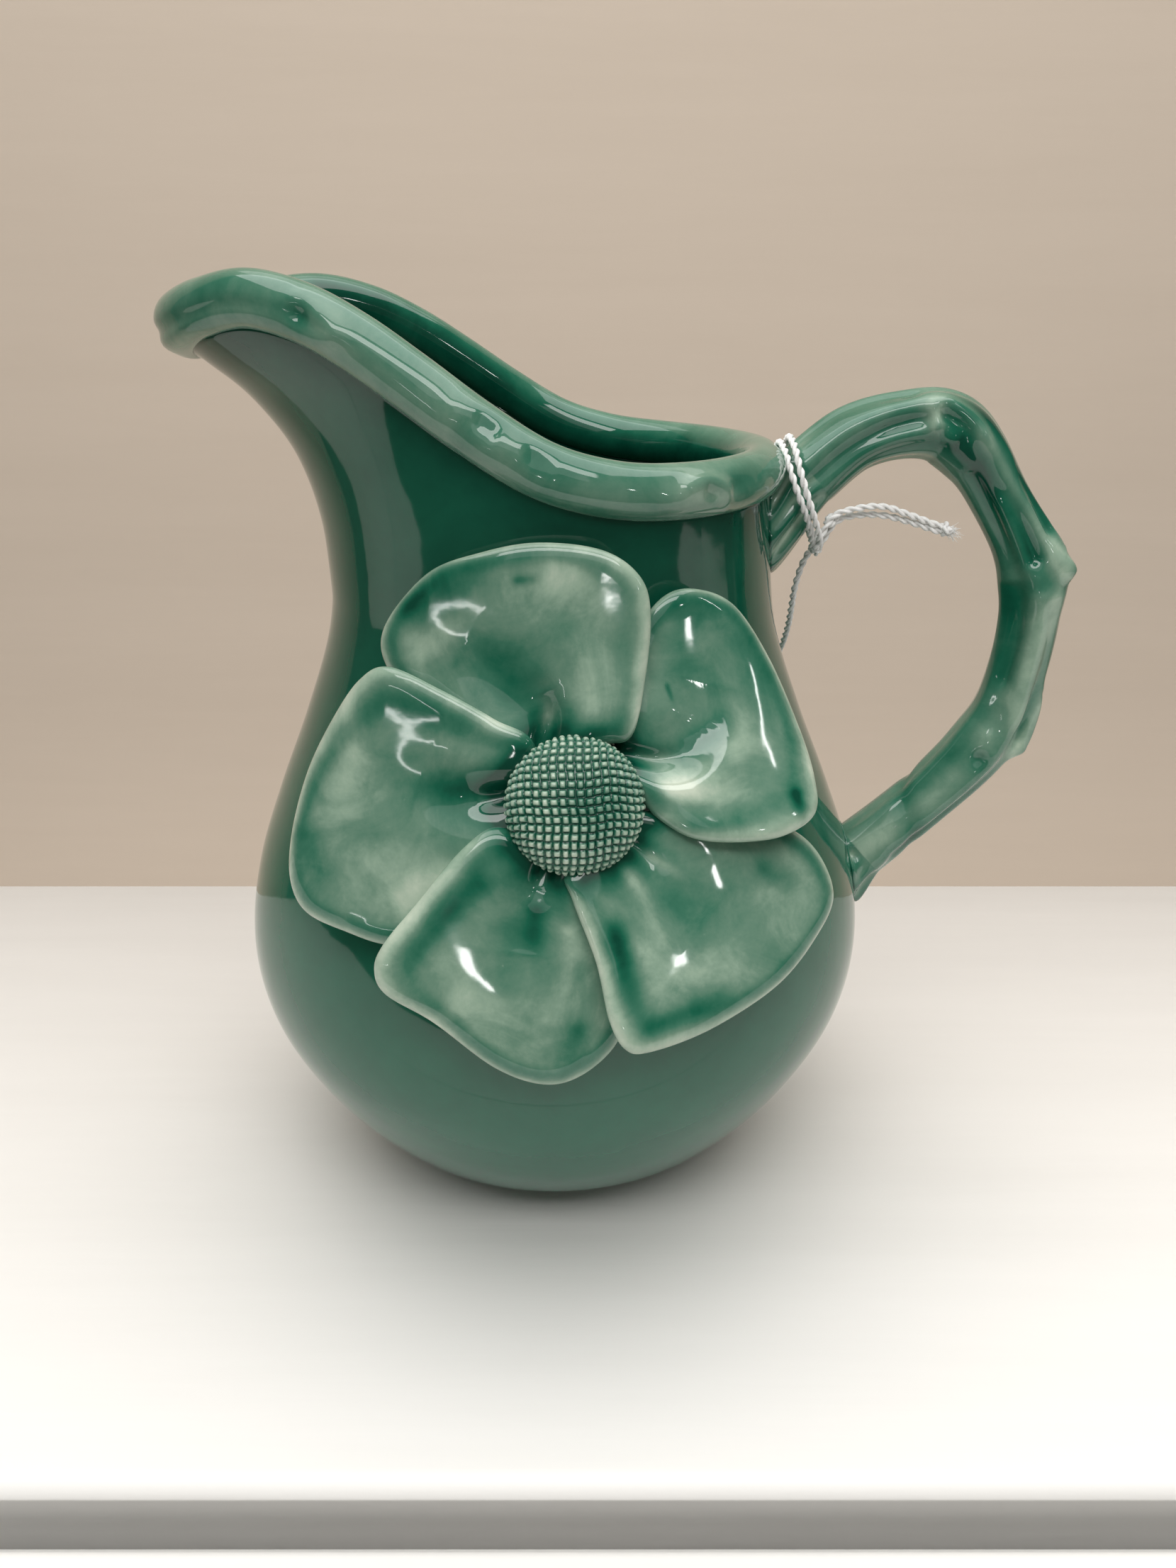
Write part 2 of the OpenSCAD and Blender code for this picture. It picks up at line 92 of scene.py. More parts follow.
# The flower's plane, and the middle of its dome in that plane
FLOWER_AT = np.array([5.9, -61.5, 116.8])
FLOWER_TURN = math.radians(5.5)
FLOWER_TIP = math.radians(23)
ACROSS = np.array([math.cos(FLOWER_TURN), math.sin(FLOWER_TURN), 0])
OUT = np.array([math.sin(FLOWER_TURN) * math.cos(FLOWER_TIP), -math.cos(FLOWER_TURN) * math.cos(FLOWER_TIP),
                math.sin(FLOWER_TIP)])
UP = np.cross(OUT, ACROSS)
DOME_AT = [-0.9, 0.6]

# Each petal: outline in the flower's plane, middle, way it points, half width
PETALS = {
    "petal_top": ([[5, 12], [11, 14], [14, 26], [15, 37], [13, 44], [6, 49], [-6, 51], [-17, 50], [-28, 47],
                   [-37, 38], [-37, 30], [-30, 21], [-18, 12], [-9, 8]], [-9, 33], 98, 25),
    "petal_right": ([[12, 2], [16, -3], [23, -7], [33, -8], [42, -7], [49, -3], [50, 4], [48, 14], [42, 29],
                     [34, 40], [25, 43], [18, 41], [12, 33], [9, 22], [8, 10]], [29, 15], 27, 23),
    "petal_low_right": ([[-3, -12], [-2, -18], [2, -30], [4, -41], [7, -47], [12, -48], [25, -45], [40, -38],
                         [50, -29], [55, -21], [52, -12], [45, -6], [34, -3], [23, -3], [14, -1], [6, -4]],
                        [24, -26], -47, 24),
    "petal_low_left": ([[-8, -7], [-16, -3], [-23, -7], [-32, -17], [-39, -25], [-41, -30], [-39, -35],
                        [-30, -41], [-18, -51], [-8, -55], [0, -53], [7, -46], [8, -36], [5, -22], [0, -11]],
                       [-16, -30], 242, 23),
    "petal_left": ([[-8, 12], [-16, 18], [-26, 24], [-36, 29], [-42, 27], [-48, 20], [-54, 10], [-58, -2],
                    [-59, -12], [-56, -19], [-48, -23], [-37, -26], [-27, -21], [-19, -12], [-12, -4]],
                   [-34, 3], 176, 24),
}

# Middle lines of the string
WRAP = [[61, -3, 158.2], [59.6, -7.5, 162.5], [57.4, -10.8, 167.4], [55.4, -11.7, 171.6],
        [53.8, -10.4, 176], [52.9, -6.5, 179.8], [52.6, 0, 181.4], [52.9, 6.5, 179.8], [53.8, 10.4, 176],
        [55.4, 11.7, 171.6], [57.4, 10.8, 167.4], [60.4, 7.5, 162], [62.4, 3, 158.4],
        [62.8, -2, 157.6], [61.6, -7.4, 161.4], [59.4, -10.8, 166.6], [57.4, -11.6, 171.6],
        [55.8, -10.4, 176.6], [55, -6.6, 180.8], [54.7, 0, 182.6], [55, 6.6, 180.8], [55.8, 10.4, 176.6],
        [57.4, 11.6, 171.6], [59.4, 10.8, 166.6], [62, 7.4, 161.4], [63.6, 3.4, 158.2]]
TAIL_A = [[61.6, -4.6, 157.8], [62.6, -6, 161.6], [64, -6.6, 164.8], [66, -6.6, 166.5], [69, -6.4, 167.3],
          [73, -6.2, 167.9], [77, -5.8, 167.7], [81, -5.5, 166.4], [85, -5.2, 165], [88, -5, 163.9],
          [90.6, -5, 163.2]]
TAIL_B = [[62, -2.6, 157], [63.4, -4, 160], [64.8, -4.8, 163], [66.8, -5, 164.9], [70, -4.8, 165.6],
          [74, -4.6, 165.8], [78, -4.6, 165.4], [82, -4.6, 164.4], [86, -4.6, 163.2], [88, -4.6, 162.5],
          [90.6, -4.6, 161.8]]
DROP = [[61, 0, 156.4], [59.7, 1.6, 152.6], [58.9, 4, 147], [59, 7.4, 141.6], [59.3, 12, 135.6],
        [59.2, 18, 129], [58.4, 24.5, 122.5], [56.8, 31, 116], [54.6, 37, 110.4], [52.2, 42, 105.6]]
HITCH = [62, -2.2, 157.4]
TAIL_KNOT = [64.6, -5.2, 164.6]
END_KNOT = [91.4, -4.8, 162.4]
DROP_KNOT = [51.8, 42.6, 105]

# ---- Curves and frames ----


def unit(v):
    return v / np.linalg.norm(v, axis=-1, keepdims=True)


def ease(u):
    c = np.clip(u, 0, 1)
    return c * c * (3 - 2 * c)


def circle(count):
    """Angles of points evenly spaced round a full turn, in radians."""
    return np.linspace(0, 2 * math.pi, count, endpoint=False)


def bump(x, width):
    """Round bump of height 1 that is about width wide on each side."""
    return np.exp(-(x / width) ** 2)


def smooth(table, x):
    """Smooth curve through a table's rows, level past both ends."""
    xs, ys = np.array(table, float).T
    slopes = np.empty(len(xs))
    slopes[1:-1] = (ys[2:] - ys[:-2]) / (xs[2:] - xs[:-2])
    slopes[[0, -1]] = (ys[1] - ys[0]) / (xs[1] - xs[0]), (ys[-1] - ys[-2]) / (xs[-1] - xs[-2])
    x = np.clip(x, xs[0], xs[-1])
    i = np.clip(np.searchsorted(xs, x, side="right") - 1, 0, len(xs) - 2)
    h = xs[i + 1] - xs[i]
    u = (x - xs[i]) / h
    return ((2 * u**3 - 3 * u**2 + 1) * ys[i] + (u**3 - 2 * u**2 + u) * h * slopes[i]
            + (3 * u**2 - 2 * u**3) * ys[i + 1] + (u**3 - u**2) * h * slopes[i + 1])


def along(points, u, closed=False):
    """Points of a Catmull-Rom curve at u, counted in points."""
    p = np.array(points, float)
    n = len(p)
    i = np.floor(u).astype(int) % n if closed else np.minimum(np.floor(u).astype(int), n - 2)
    w = (np.asarray(u) - np.floor(u) if closed else np.asarray(u) - i)[..., None]
    ids = [(i + k) % n if closed else np.clip(i + k, 0, n - 1) for k in (-1, 0, 1, 2)]
    a, b, c, d = (p[k] for k in ids)
    return b + (c - a) * w / 2 + (2 * a - 5 * b + 4 * c - d) * w**2 / 2 + (3 * b - a - 3 * c + d) * w**3 / 2


# Straight steps that a trail takes between two of its points
TRAIL_STEPS = 8


def trail(x, y, points, width, spread=1.0):
    """Share from 0 to 1 of a soft line drawn through points: full on the line, gone a few widths off it.

    It fades out towards its far end, where it is spread times as wide.
    """
    last = len(points) - 1
    line = along(points, np.linspace(0, last, TRAIL_STEPS * last + 1))
    nearest = np.full(x.shape, np.inf)
    at = np.zeros(x.shape)
    for i, (a, b) in enumerate(zip(line[:-1], line[1:])):
        way = b - a
        t = np.clip(((x - a[0]) * way[0] + (y - a[1]) * way[1]) / (way @ way), 0, 1)
        off = np.hypot(x - a[0] - t * way[0], y - a[1] - t * way[1])
        at = np.where(off < nearest, (i + t) / (len(line) - 1), at)
        nearest = np.minimum(off, nearest)
    return bump(nearest, width * (1 + (spread - 1) * at)) * (1 - 0.75 * at**2)


def bend(a, da, b, db, u):
    """Curve from a, leaving along da, to b, arriving along db."""
    return ((2 * u**3 - 3 * u**2 + 1) * a + (u**3 - 2 * u**2 + u) * da
            + (3 * u**2 - 2 * u**3) * b + (u**3 - u**2) * db)


def turned(line):
    """Tangents, and two directions square to them that are carried on from point to point."""
    t = unit(np.gradient(line, axis=0))
    side = unit(np.cross(t[0], [0, 0, 1] if abs(t[0][2]) < 0.9 else [0, 1, 0]))
    side_shade_and_reflection = []
    for way in t:
        side = unit(side - (side @ way) * way)
        side_shade_and_reflection.append(side)
    a = np.array(side_shade_and_reflection)
    return t, a, np.cross(t, a)


# ---- Meshes ----


def ring_faces(rows, columns, joined=False):
    """Quads between rings that run the same way round; joined closes the last ring to the first."""
    k, j = np.meshgrid(np.arange(rows if joined else rows - 1), np.arange(columns), indexing="ij")
    a, b = k * columns + j, k * columns + (j + 1) % columns
    up = (k + 1) % rows * columns
    return np.stack([a, up + j, up + (j + 1) % columns, b], -1).reshape(-1, 4)


def loft(rings, joined=False):
    """Points and faces of a closed skin over rings, whose ends are joined or closed to a middle point."""
    rows, columns = rings.shape[:2]
    points = rings.reshape(-1, 3)
    faces = ring_faces(rows, columns, joined).tolist()
    if joined:
        return points, faces
    first = np.arange(columns)
    last = first + (rows - 1) * columns
    middle = len(points)
    faces += [[middle, int(a), int(b)] for a, b in zip(first, np.roll(first, -1))]
    faces += [[middle + 1, int(b), int(a)] for a, b in zip(last, np.roll(last, -1))]
    return np.vstack([points, rings[0].mean(0), rings[-1].mean(0)]), faces


def joined_skins(skins):
    """One set of points and faces from several."""
    points, faces, count = [], [], 0
    for p, f in skins:
        points.append(p)
        faces += [[i + count for i in face] for face in f]
        count += len(p)
    return np.vstack(points), faces


def hollowness(points, faces, reach):
    """How deep each point lies below its surroundings, in mm: above 0 in a hollow, below 0 on an edge.

    Surroundings are the mesh's own points averaged over about reach mm.
    """
    loops = np.array([[f[i], f[(i + 1) % len(f)]] for f in faces for i in range(len(f))])
    ends = np.concatenate([loops, loops[:, ::-1]])
    degree = np.bincount(ends[:, 0], minlength=len(points))[:, None]
    step = np.median(np.linalg.norm(points[loops[:, 0]] - points[loops[:, 1]], axis=1))
    mean = points.copy()
    for _ in range(max(1, int((reach / step) ** 2))):
        total = np.zeros_like(mean)
        for axis in range(3):
            total[:, axis] = np.bincount(ends[:, 0], weights=mean[ends[:, 1], axis], minlength=len(points))
        mean = 0.5 * mean + 0.5 * total / np.maximum(degree, 1)
    normals = point_normals(points, faces)
    return ((mean - points) * normals).sum(1)


def point_normals(points, faces):
    normals = np.zeros_like(points)
    tris = np.array([[f[0], f[i], f[i + 1]] for f in faces for i in range(1, len(f) - 1)])
    cross = np.cross(points[tris[:, 1]] - points[tris[:, 0]], points[tris[:, 2]] - points[tris[:, 0]])
    for k in range(3):
        for axis in range(3):
            normals[:, axis] += np.bincount(tris[:, k], weights=cross[:, axis], minlength=len(points))
    return normals / np.maximum(np.linalg.norm(normals, axis=1, keepdims=True), 1e-9)


def clay_depth(skin, base, reach=2.0):
    """Depth layer of modelled clay: glaze pools between its ridges and thins on them."""
    return base + 0.75 * np.clip(hollowness(*skin, reach) + 0.22, -0.4, 0.8)


def piece(name, skin, finish, slot, nodes, **layers):
    """Mesh object from points in mm, with a value per point for each named layer."""
    points, faces = skin
    mesh = bpy.data.meshes.new(name)
    mesh.from_pydata((points * MM).tolist(), [], faces)
    mesh.polygons.foreach_set("use_smooth", [True] * len(mesh.polygons))
    for layer, values in layers.items():
        mesh.attributes.new(layer, "FLOAT", "POINT").data.foreach_set("value", values.astype(np.float32))
    mesh.materials.append(finish)
    mesh.update()
    made = bpy.data.objects.new(name, mesh)
    bpy.context.scene.collection.objects.link(made)
    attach(made, "root")
    if nodes:
        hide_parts(*nodes)
    return made


# ---- Node materials ----


class Nodes:
    """Short way to add nodes to a new material and link them."""

    def __init__(self, name):
        self.material = bpy.data.materials.new(name)
        self.material.use_nodes = True
        self.tree = self.material.node_tree
        self.shader = self.tree.nodes["Principled BSDF"]

    def add(self, kind, settings=None, **inputs):
        node = self.tree.nodes.new(kind)
        for key, value in (settings or {}).items():
            setattr(node, key, value)
        for key, value in inputs.items():
            self.put(node.inputs[key.replace("_", " ")], value)
        return node

    def put(self, socket, value):
        if isinstance(value, bpy.types.NodeSocket):
            self.tree.links.new(value, socket)
        else:
            socket.default_value = value

    def math(self, operation, a, b=0.0, c=0.0):
        node = self.tree.nodes.new("ShaderNodeMath")
        node.operation = operation
        for socket, value in zip(node.inputs, (a, b, c)):
            self.put(socket, value)
        return node.outputs[0]

    def noise(self, scale, detail=3.0, roughness=0.5, distortion=0.0, stretch=(1, 1, 1)):
        place = self.add("ShaderNodeTexCoord").outputs["Object"]
        if stretch != (1, 1, 1):
            place = self.add("ShaderNodeMapping", Vector=place, Scale=stretch).outputs[0]
        node = self.add("ShaderNodeTexNoise", Vector=place, Scale=scale, Detail=detail, Roughness=roughness,
                        Distortion=distortion)
        return node.outputs[0]

    def ramp(self, value, stops, interpolation="B_SPLINE"):
        node = self.add("ShaderNodeValToRGB", Fac=value)
        node.color_ramp.interpolation = interpolation
        while len(node.color_ramp.elements) < len(stops):
            node.color_ramp.elements.new(0.5)
        for element, (at, color) in zip(node.color_ramp.elements, stops):
            element.position = at
            element.color = (*color, 1)
        return node.outputs[0]


# Colour of the glaze from where it has run thin to where it has pooled
GLAZE = [(0.0, (0.56, 0.64, 0.52)), (0.2, (0.31, 0.43, 0.33)), (0.4, (0.135, 0.25, 0.18)),
         (0.6, (0.045, 0.165, 0.107)), (0.8, (0.009, 0.112, 0.065)), (1.0, (0.002, 0.055, 0.032))]


def glaze(name, base, cloud):
    """Glossy green glaze over pale clay. The depth layer says how thick it lies at each point, and in places
    it also carries painted shade.
    """
    n = Nodes(name)
    depth = n.add("ShaderNodeAttribute", {"attribute_name": "depth"}).outputs["Fac"]
    clouds = n.math("SUBTRACT", n.noise(55, 5, 0.58, 0.9), 0.5)
    wisps = n.math("SUBTRACT", n.noise(170, 4, 0.6, 0.5), 0.5)
    grains = n.math("SUBTRACT", n.noise(1100, 2, 0.6), 0.5)
    total = n.math("MULTIPLY_ADD", clouds, cloud * 3, n.math("ADD", depth, base))
    total = n.math("MULTIPLY_ADD", wisps, cloud * 1.2, total)
    total = n.math("MULTIPLY_ADD", grains, cloud * 0.3, total)
    n.put(n.shader.inputs["Base Color"], n.ramp(total, GLAZE, "LINEAR"))
    n.shader.inputs["Roughness"].default_value = 0.06
    n.shader.inputs["IOR"].default_value = 1.54
    swell = n.math("MULTIPLY_ADD", n.noise(300, 2, 0.5), 0.08, n.noise(55, 2, 0.4))
    n.put(n.shader.inputs["Normal"],
          n.add("ShaderNodeBump", Strength=0.1, Distance=0.0012, Height=swell).outputs[0])
    return n.material


def bisque():
    """Unglazed foot: gritty warm clay, a little worn and stained where it stands."""
    n = Nodes("bisque")
    stain = n.noise(60, 4, 0.6)
    grit = n.noise(1400, 3, 0.7)
    tone = n.math("MULTIPLY_ADD", grit, 0.35, n.math("MULTIPLY", stain, 0.65))
    n.put(n.shader.inputs["Base Color"],
          n.ramp(tone, [(0.25, (0.36, 0.27, 0.19)), (0.5, (0.62, 0.52, 0.41)), (0.75, (0.75, 0.68, 0.57))]))
    n.put(n.shader.inputs["Roughness"], n.math("MULTIPLY_ADD", grit, 0.15, 0.75))
    n.put(n.shader.inputs["Normal"],
          n.add("ShaderNodeBump", Strength=0.4, Distance=0.0003, Height=grit).outputs[0])
    return n.material


def cotton():
    """Soft white cotton: a layer of painted shade darkens the crease between its two plies."""
    n = Nodes("cotton")
    groove = n.add("ShaderNodeAttribute", {"attribute_name": "groove"}).outputs["Fac"]
    fibres = n.noise(5200, 3, 0.7, 0.4, (1, 1, 0.35))
    tone = n.math("MULTIPLY_ADD", fibres, 0.35, n.math("SUBTRACT", 0.75, n.math("MULTIPLY", groove, 0.6)))
    n.put(n.shader.inputs["Base Color"],
          n.ramp(tone, [(0.1, (0.42, 0.40, 0.37)), (0.5, (0.78, 0.77, 0.75)), (0.95, (0.93, 0.93, 0.92))]))
    n.shader.inputs["Roughness"].default_value = 0.9
    n.shader.inputs["Sheen Weight"].default_value = 0.3
    n.put(n.shader.inputs["Normal"],
          n.add("ShaderNodeBump", Strength=0.5, Distance=0.0002, Height=fibres).outputs[0])
    return n.material


def paint(name, low, high, roughness):
    """Plain painted surface with faint brush marks along X."""
    n = Nodes(name)
    strokes = n.noise(9, 5, 0.65, 0.2, (0.25, 3, 3))
    n.put(n.shader.inputs["Base Color"], n.ramp(strokes, [(0.3, low), (0.7, high)]))
    n.shader.inputs["Roughness"].default_value = roughness
    n.put(n.shader.inputs["Normal"],
          n.add("ShaderNodeBump", Strength=0.15, Distance=0.0006, Height=n.noise(60, 4, 0.6, 0, (0.2, 3, 3)))
          .outputs[0])
    return n.material


# ---- Camera ----


def make_camera():
    """Camera a little above the rim, close to the pitcher, looking down at it."""
    data = bpy.data.cameras.new("camera")
    data.sensor_width = 36
    data.lens = 27.05
    data.clip_start = 0.01
    camera = bpy.data.objects.new("camera", data)
    camera.location = (0.0084, -0.280, 0.213)
    camera.rotation_euler = (math.radians(90 - 22.6), 0, 0)
    bpy.context.scene.collection.objects.link(camera)
    bpy.context.scene.camera = camera


# ---- String ----

# Length of one full twist of the string's two plies, the radius of a ply, and points round the string
PLY_PITCH = 5.2
PLY_R = 0.48
PLY_SIDES = 16


def strand(line, twist=PLY_PITCH, scale=1.0):
    """Rings of a string of two plies that twist round each other along line, and its layer of painted shade
    in the crease between the plies.
    """
    length = np.concatenate([[0], np.cumsum(np.linalg.norm(np.diff(line, axis=0), axis=1))])
    _, a, b = turned(line)
    w = circle(PLY_SIDES)
    lobes = np.abs(np.cos(w))
    reach = scale * PLY_R * (lobes * 0.75 + np.sqrt(np.maximum(1 - (0.75 * np.sin(w)) ** 2, 0)))
    turn = w[None] + (2 * math.pi * length / twist)[:, None]
    rings = line[:, None] + reach[None, :, None] * (
        np.cos(turn)[..., None] * a[:, None] + np.sin(turn)[..., None] * b[:, None])
    # Painted shade in the crease between the two plies.
    groove = np.broadcast_to((1 - lobes) ** 2, turn.shape)
    return rings, groove


def fine_line(route, spacing=0.35):
    """Points about spacing mm apart along a smooth curve through the route."""
    rough = along(route, np.linspace(0, len(route) - 1, 40 * len(route)))
    length = np.concatenate([[0], np.cumsum(np.linalg.norm(np.diff(rough, axis=0), axis=1))])
    at = np.linspace(0, length[-1], int(length[-1] / spacing) + 2)
    return np.stack([np.interp(at, length, rough[:, k]) for k in range(3)], 1), length[-1]


def knot(name, at, size, finish, nodes, lean=0.0):
    """Overhand knot pulled tight: a strand along a small trefoil."""
    t = circle(90)
    trefoil = np.stack([np.sin(t) + 2 * np.sin(2 * t),
                        np.cos(t) - 2 * np.cos(2 * t),
                        -1.4 * np.sin(3 * t)], 1)
    turn = np.array([[math.cos(lean), 0, math.sin(lean)], [0, 1, 0], [-math.sin(lean), 0, math.cos(lean)]])
    line = np.array(at) + trefoil @ turn.T * size / 5.4
    rings, groove = strand(np.vstack([line, line[:1]]), 2.6, 1.15)
    skin = loft(rings[:-1], joined=True)
    return piece(name, skin, finish, "cotton", nodes, groove=groove[:-1].ravel())


def fringe(name, at, way, count, length, finish):
    """Loose fibres where a string is frayed, in a cone along way."""
    dice = np.random.default_rng(7)
    way = unit(np.array(way, float))
    skins = []
    for _ in range(count):
        spread = unit(way + dice.normal(0, 0.2, 3))
        curl = dice.normal(0, 0.3, 3)
        start = np.array(at) + dice.normal(0, 0.45, 3)
        u = np.linspace(0, 1, 9)[:, None]
        line = start + length * dice.uniform(0.3, 1) * (u * spread + u**2 * curl)
        _, a, b = turned(line)
        w = circle(4)[None, :, None]
        thin = 0.09 * (1 - 0.6 * u[..., None])
        skins.append(loft(line[:, None] + thin * (np.cos(w) * a[:, None] + np.sin(w) * b[:, None])))
    points, faces = joined_skins(skins)
    return piece(name, (points, faces), finish, "cotton", None, groove=np.zeros(len(points)))


def string(name, route, finish, node):
    """One strand of the string."""
    line, length = fine_line(route)
    rings, groove = strand(line)
    layer = np.concatenate([groove.ravel(), [0.5, 0.5]])
    made = piece(name, loft(rings), finish, "cotton", [node], groove=layer)


def make_string():
    finish = cotton()
    hitch = knot("string_hitch_knot", HITCH, 1.8, finish, ["string_hitch"], 0.6)
    tail_knot = knot("string_tail_knot_turns", TAIL_KNOT, 1.8, finish, ["string_tail_knot"], -0.5)
    end_knot = knot("string_end_knot_turns", END_KNOT, 1.8, finish, ["string_end_knot"], 1.2)
    drop_knot = knot("string_drop_knot_turns", DROP_KNOT, 1.7, finish, ["string_drop_knot"], 0.2)
    fray = fringe("string_fray", END_KNOT, [0.9, -0.1, -0.25], 90, 3.0, finish)
    string("string_wrap_strand", WRAP, finish, "string_wrap")
    string("string_tail_a_strand", TAIL_A, finish, "string_tail_a")
    string("string_tail_b_strand", TAIL_B, finish, "string_tail_b")
    string("string_drop_strand", DROP, finish, "string_drop")


# ---- Body ----

# Mesh of the body: points round it, and mm between its rings
BODY_COLUMNS = 240
BODY_STEP = 1.6


def from_spout(angle):
    return np.abs(angle % 360 - 180)


def outer_r(angle, z):
    return (smooth(BODY, z)
            + SPOUT_REACH * smooth(SPOUT, z) * np.exp(-(from_spout(angle) / SPOUT_SPREAD) ** SPOUT_POWER)
            + MOUTH_WIDEN * np.sin(np.radians(angle)) ** 2 * ease((z - WIDEN_Z) / 40))


def rim_z(angle):
    return smooth(RIM_LINE, from_spout(angle))


def polar(r, angle, z):
    a = np.radians(angle)
    return np.stack(np.broadcast_arrays(r * np.cos(a), r * np.sin(a), z), -1)


def on_body(angle, z):
    return polar(outer_r(angle, z), angle, z)


def on_rim(angle):
    return on_body(angle, rim_z(angle))


def rim_way(angle):
    return unit(on_rim(angle + 1) - on_rim(angle - 1))


def rim_out(angle):
    """Level direction square to the rim."""
    w = rim_way(angle)
    return unit(np.stack([w[..., 1], -w[..., 0], np.zeros_like(w[..., 0])], -1))


def roll_middle(angle):
    return on_rim(angle) - WALL / 2 * rim_out(angle)


def roll_up(angle):
    """Way the wall leans as it reaches the rim twig."""
    w = rim_way(angle)
    lean = unit(on_rim(angle) - on_body(angle, rim_z(angle) - 9))
    return unit(lean - (lean * w).sum(-1, keepdims=True) * w)


def roll_out(angle):
    return np.cross(rim_way(angle), roll_up(angle))


def roll_r(angle):
    return RIM_R + LIP_SWELL * bump(from_spout(angle), 14)


def flare(angle):
    """How much farther out the wall meets the rim twig at the spout, where the two run into each other."""
    return 1.9 * bump(from_spout(angle), 30)


def seat(angle, way):
    """Where the wall's top edge meets the rim twig, on its outer side (1) or its inner side (-1)."""
    half = WALL / 2 + flare(angle) * max(way, 0)
    drop = np.sqrt((roll_r(angle) - 0.8) ** 2 - half**2)[..., None]
    return roll_middle(angle) + way * half[..., None] * roll_out(angle) - drop * roll_up(angle)


def in_body(angle, z):
    """Inside of the wall, behind the outside at that angle and height."""
    w = ease((z - TURN_Z) / (rim_z(angle) - TURN_Z))[..., None]
    way = unit((1 - w) * polar(1.0, angle, 0.0) + w * rim_out(angle))
    return on_body(angle, z) - WALL * way


def wall_rows(bottom, surface, way, angles):
    """Rings of a wall surface from bottom up to the rim twig, about BODY_STEP apart."""
    top = seat(angles, way)
    rows = int((top[:, 2].max() - bottom) / BODY_STEP)
    share = np.linspace(0, 1, rows + 1)
    rings = [surface(angles, bottom + (top[:, 2] - bottom) * s) for s in share[:-1]]
    return np.array(rings + [top])


def make_body(finish):
    """The thrown body: its outside up to the rim, its inside down again, and its floor."""
    angles = np.arange(BODY_COLUMNS) * 360 / BODY_COLUMNS
    outside = wall_rows(FOOT_H, on_body, 1, angles)
    swell = flare(angles) * ease((outside[..., 2] - rim_z(angles) + 30) / 30)
    outside[:-1] += swell[:-1, :, None] * rim_out(angles)
    inside = wall_rows(FLOOR_Z + 1, in_body, -1, angles)[::-1]
    edge = inside[-1]
    floor = np.array([np.stack([s * edge[:, 0], s * edge[:, 1], np.full(BODY_COLUMNS, FLOOR_Z)], 1)
                      for s in (0.95, 0.7, 0.35)])
    points, faces = loft(np.concatenate([outside, inside, floor]))
    x, y, z = points.T
    below_rim = rim_z(np.degrees(np.arctan2(y, x))) - z
    within = np.arange(len(points)) >= outside.shape[0] * BODY_COLUMNS
    # Depth grows darker towards the neck, adds thicker glaze and painted shade in a band just under the rim
    # twig, and adds painted shade on the inside.
    depth = 0.07 * ease((z - 90) / 60) + 0.1 * bump(below_rim - 6, 8) + 0.08 * within
    return piece("body", (points, faces), finish, "glaze", ["body_wall"], depth=depth)


# ---- Rim ----

# Mesh of the rim twig: points along it and round it
RIM_COLUMNS = 720
RIM_SIDES = 40
# Lines and marks on the rim twig: height, width, how much wider its end is, then its way as
# [angle round the mouth, turn from the twig's top]
RIM_LINES = [
    (-0.8, 0.9, 1, [[184, 60], [192, 74], [202, 82], [212, 82], [220, 74]]),
    (0.5, 1.4, 1, [[186, 92], [196, 104], [208, 106], [219, 100]]),
    (-1.9, 1.3, 1, [[222, 64], [224, 74]]),
    (0.9, 1.3, 1, [[221, 48], [226, 52], [228.5, 66], [228, 84], [225, 98], [222, 106]]),
    (-0.5, 1.3, 2, [[230, 86], [240, 88], [252, 92]]),
    (0.45, 1.8, 2, [[230, 70], [240, 70], [250, 62]]),
    (-1.1, 1.4, 1, [[257, 58], [260.5, 63]]),
    (0.7, 1.8, 1, [[252, 46], [256, 46], [259, 46]]),
    (0.4, 1.8, 1, [[253, 76], [259, 84]]),
    (-0.7, 1.3, 2, [[267, 66], [272, 76]]),
    (0.4, 1.5, 1, [[262, 70], [267, 84]]),
    (1.1, 1.3, 1, [[300, 74], [303.5, 66], [307, 68], [310, 80], [311, 100], [312.5, 126]]),
    (-1.0, 0.9, 1, [[305.5, 84], [308, 98]]),
    (-0.6, 1.2, 2, [[314, 84], [319, 74], [326, 66]]),
    (0.6, 1.6, 1, [[296, 96], [303, 106], [309, 112]]),
    (0.7, 1.8, 1, [[150, 50], [146, 66], [150, 84]]),
    (-0.8, 1.4, 1, [[154, 60], [155, 74]]),
    (-0.7, 1.3, 2, [[128, 66], [118, 74], [108, 70]]),
    (0.8, 1.6, 1, [[94, 44], [89, 60], [92, 78]]),
    (-0.9, 1.3, 1, [[62, 64], [65, 78]]),
    (0.7, 1.7, 1, [[38, 50], [42, 66], [38, 84]]),
    (-0.6, 1.2, 2, [[34, 70], [22, 78], [12, 72]]),
    (0.5, 1.6, 1, [[350, 60], [344, 80]]),
]
# Distance along the rim twig for each degree round the mouth, in mm
RIM_DEGREE = 0.95


def rim_relief(a, w):
    """Height of the rim twig's bark marks, in mm, by the angle round the mouth and the turn from its top."""
    x, y = np.broadcast_arrays(a * RIM_DEGREE, np.radians(w) * RIM_R)
    total = 0.08 * np.cos(np.radians(3 * w + 25 * np.sin(np.radians(2 * a))))
    for height, width, spread, points in RIM_LINES:
        scaled = [[p * RIM_DEGREE, math.radians(q) * RIM_R] for p, q in points]
        total = total + 0.85 * height * trail(x, y, scaled, 1.4 * width, spread)
    return total


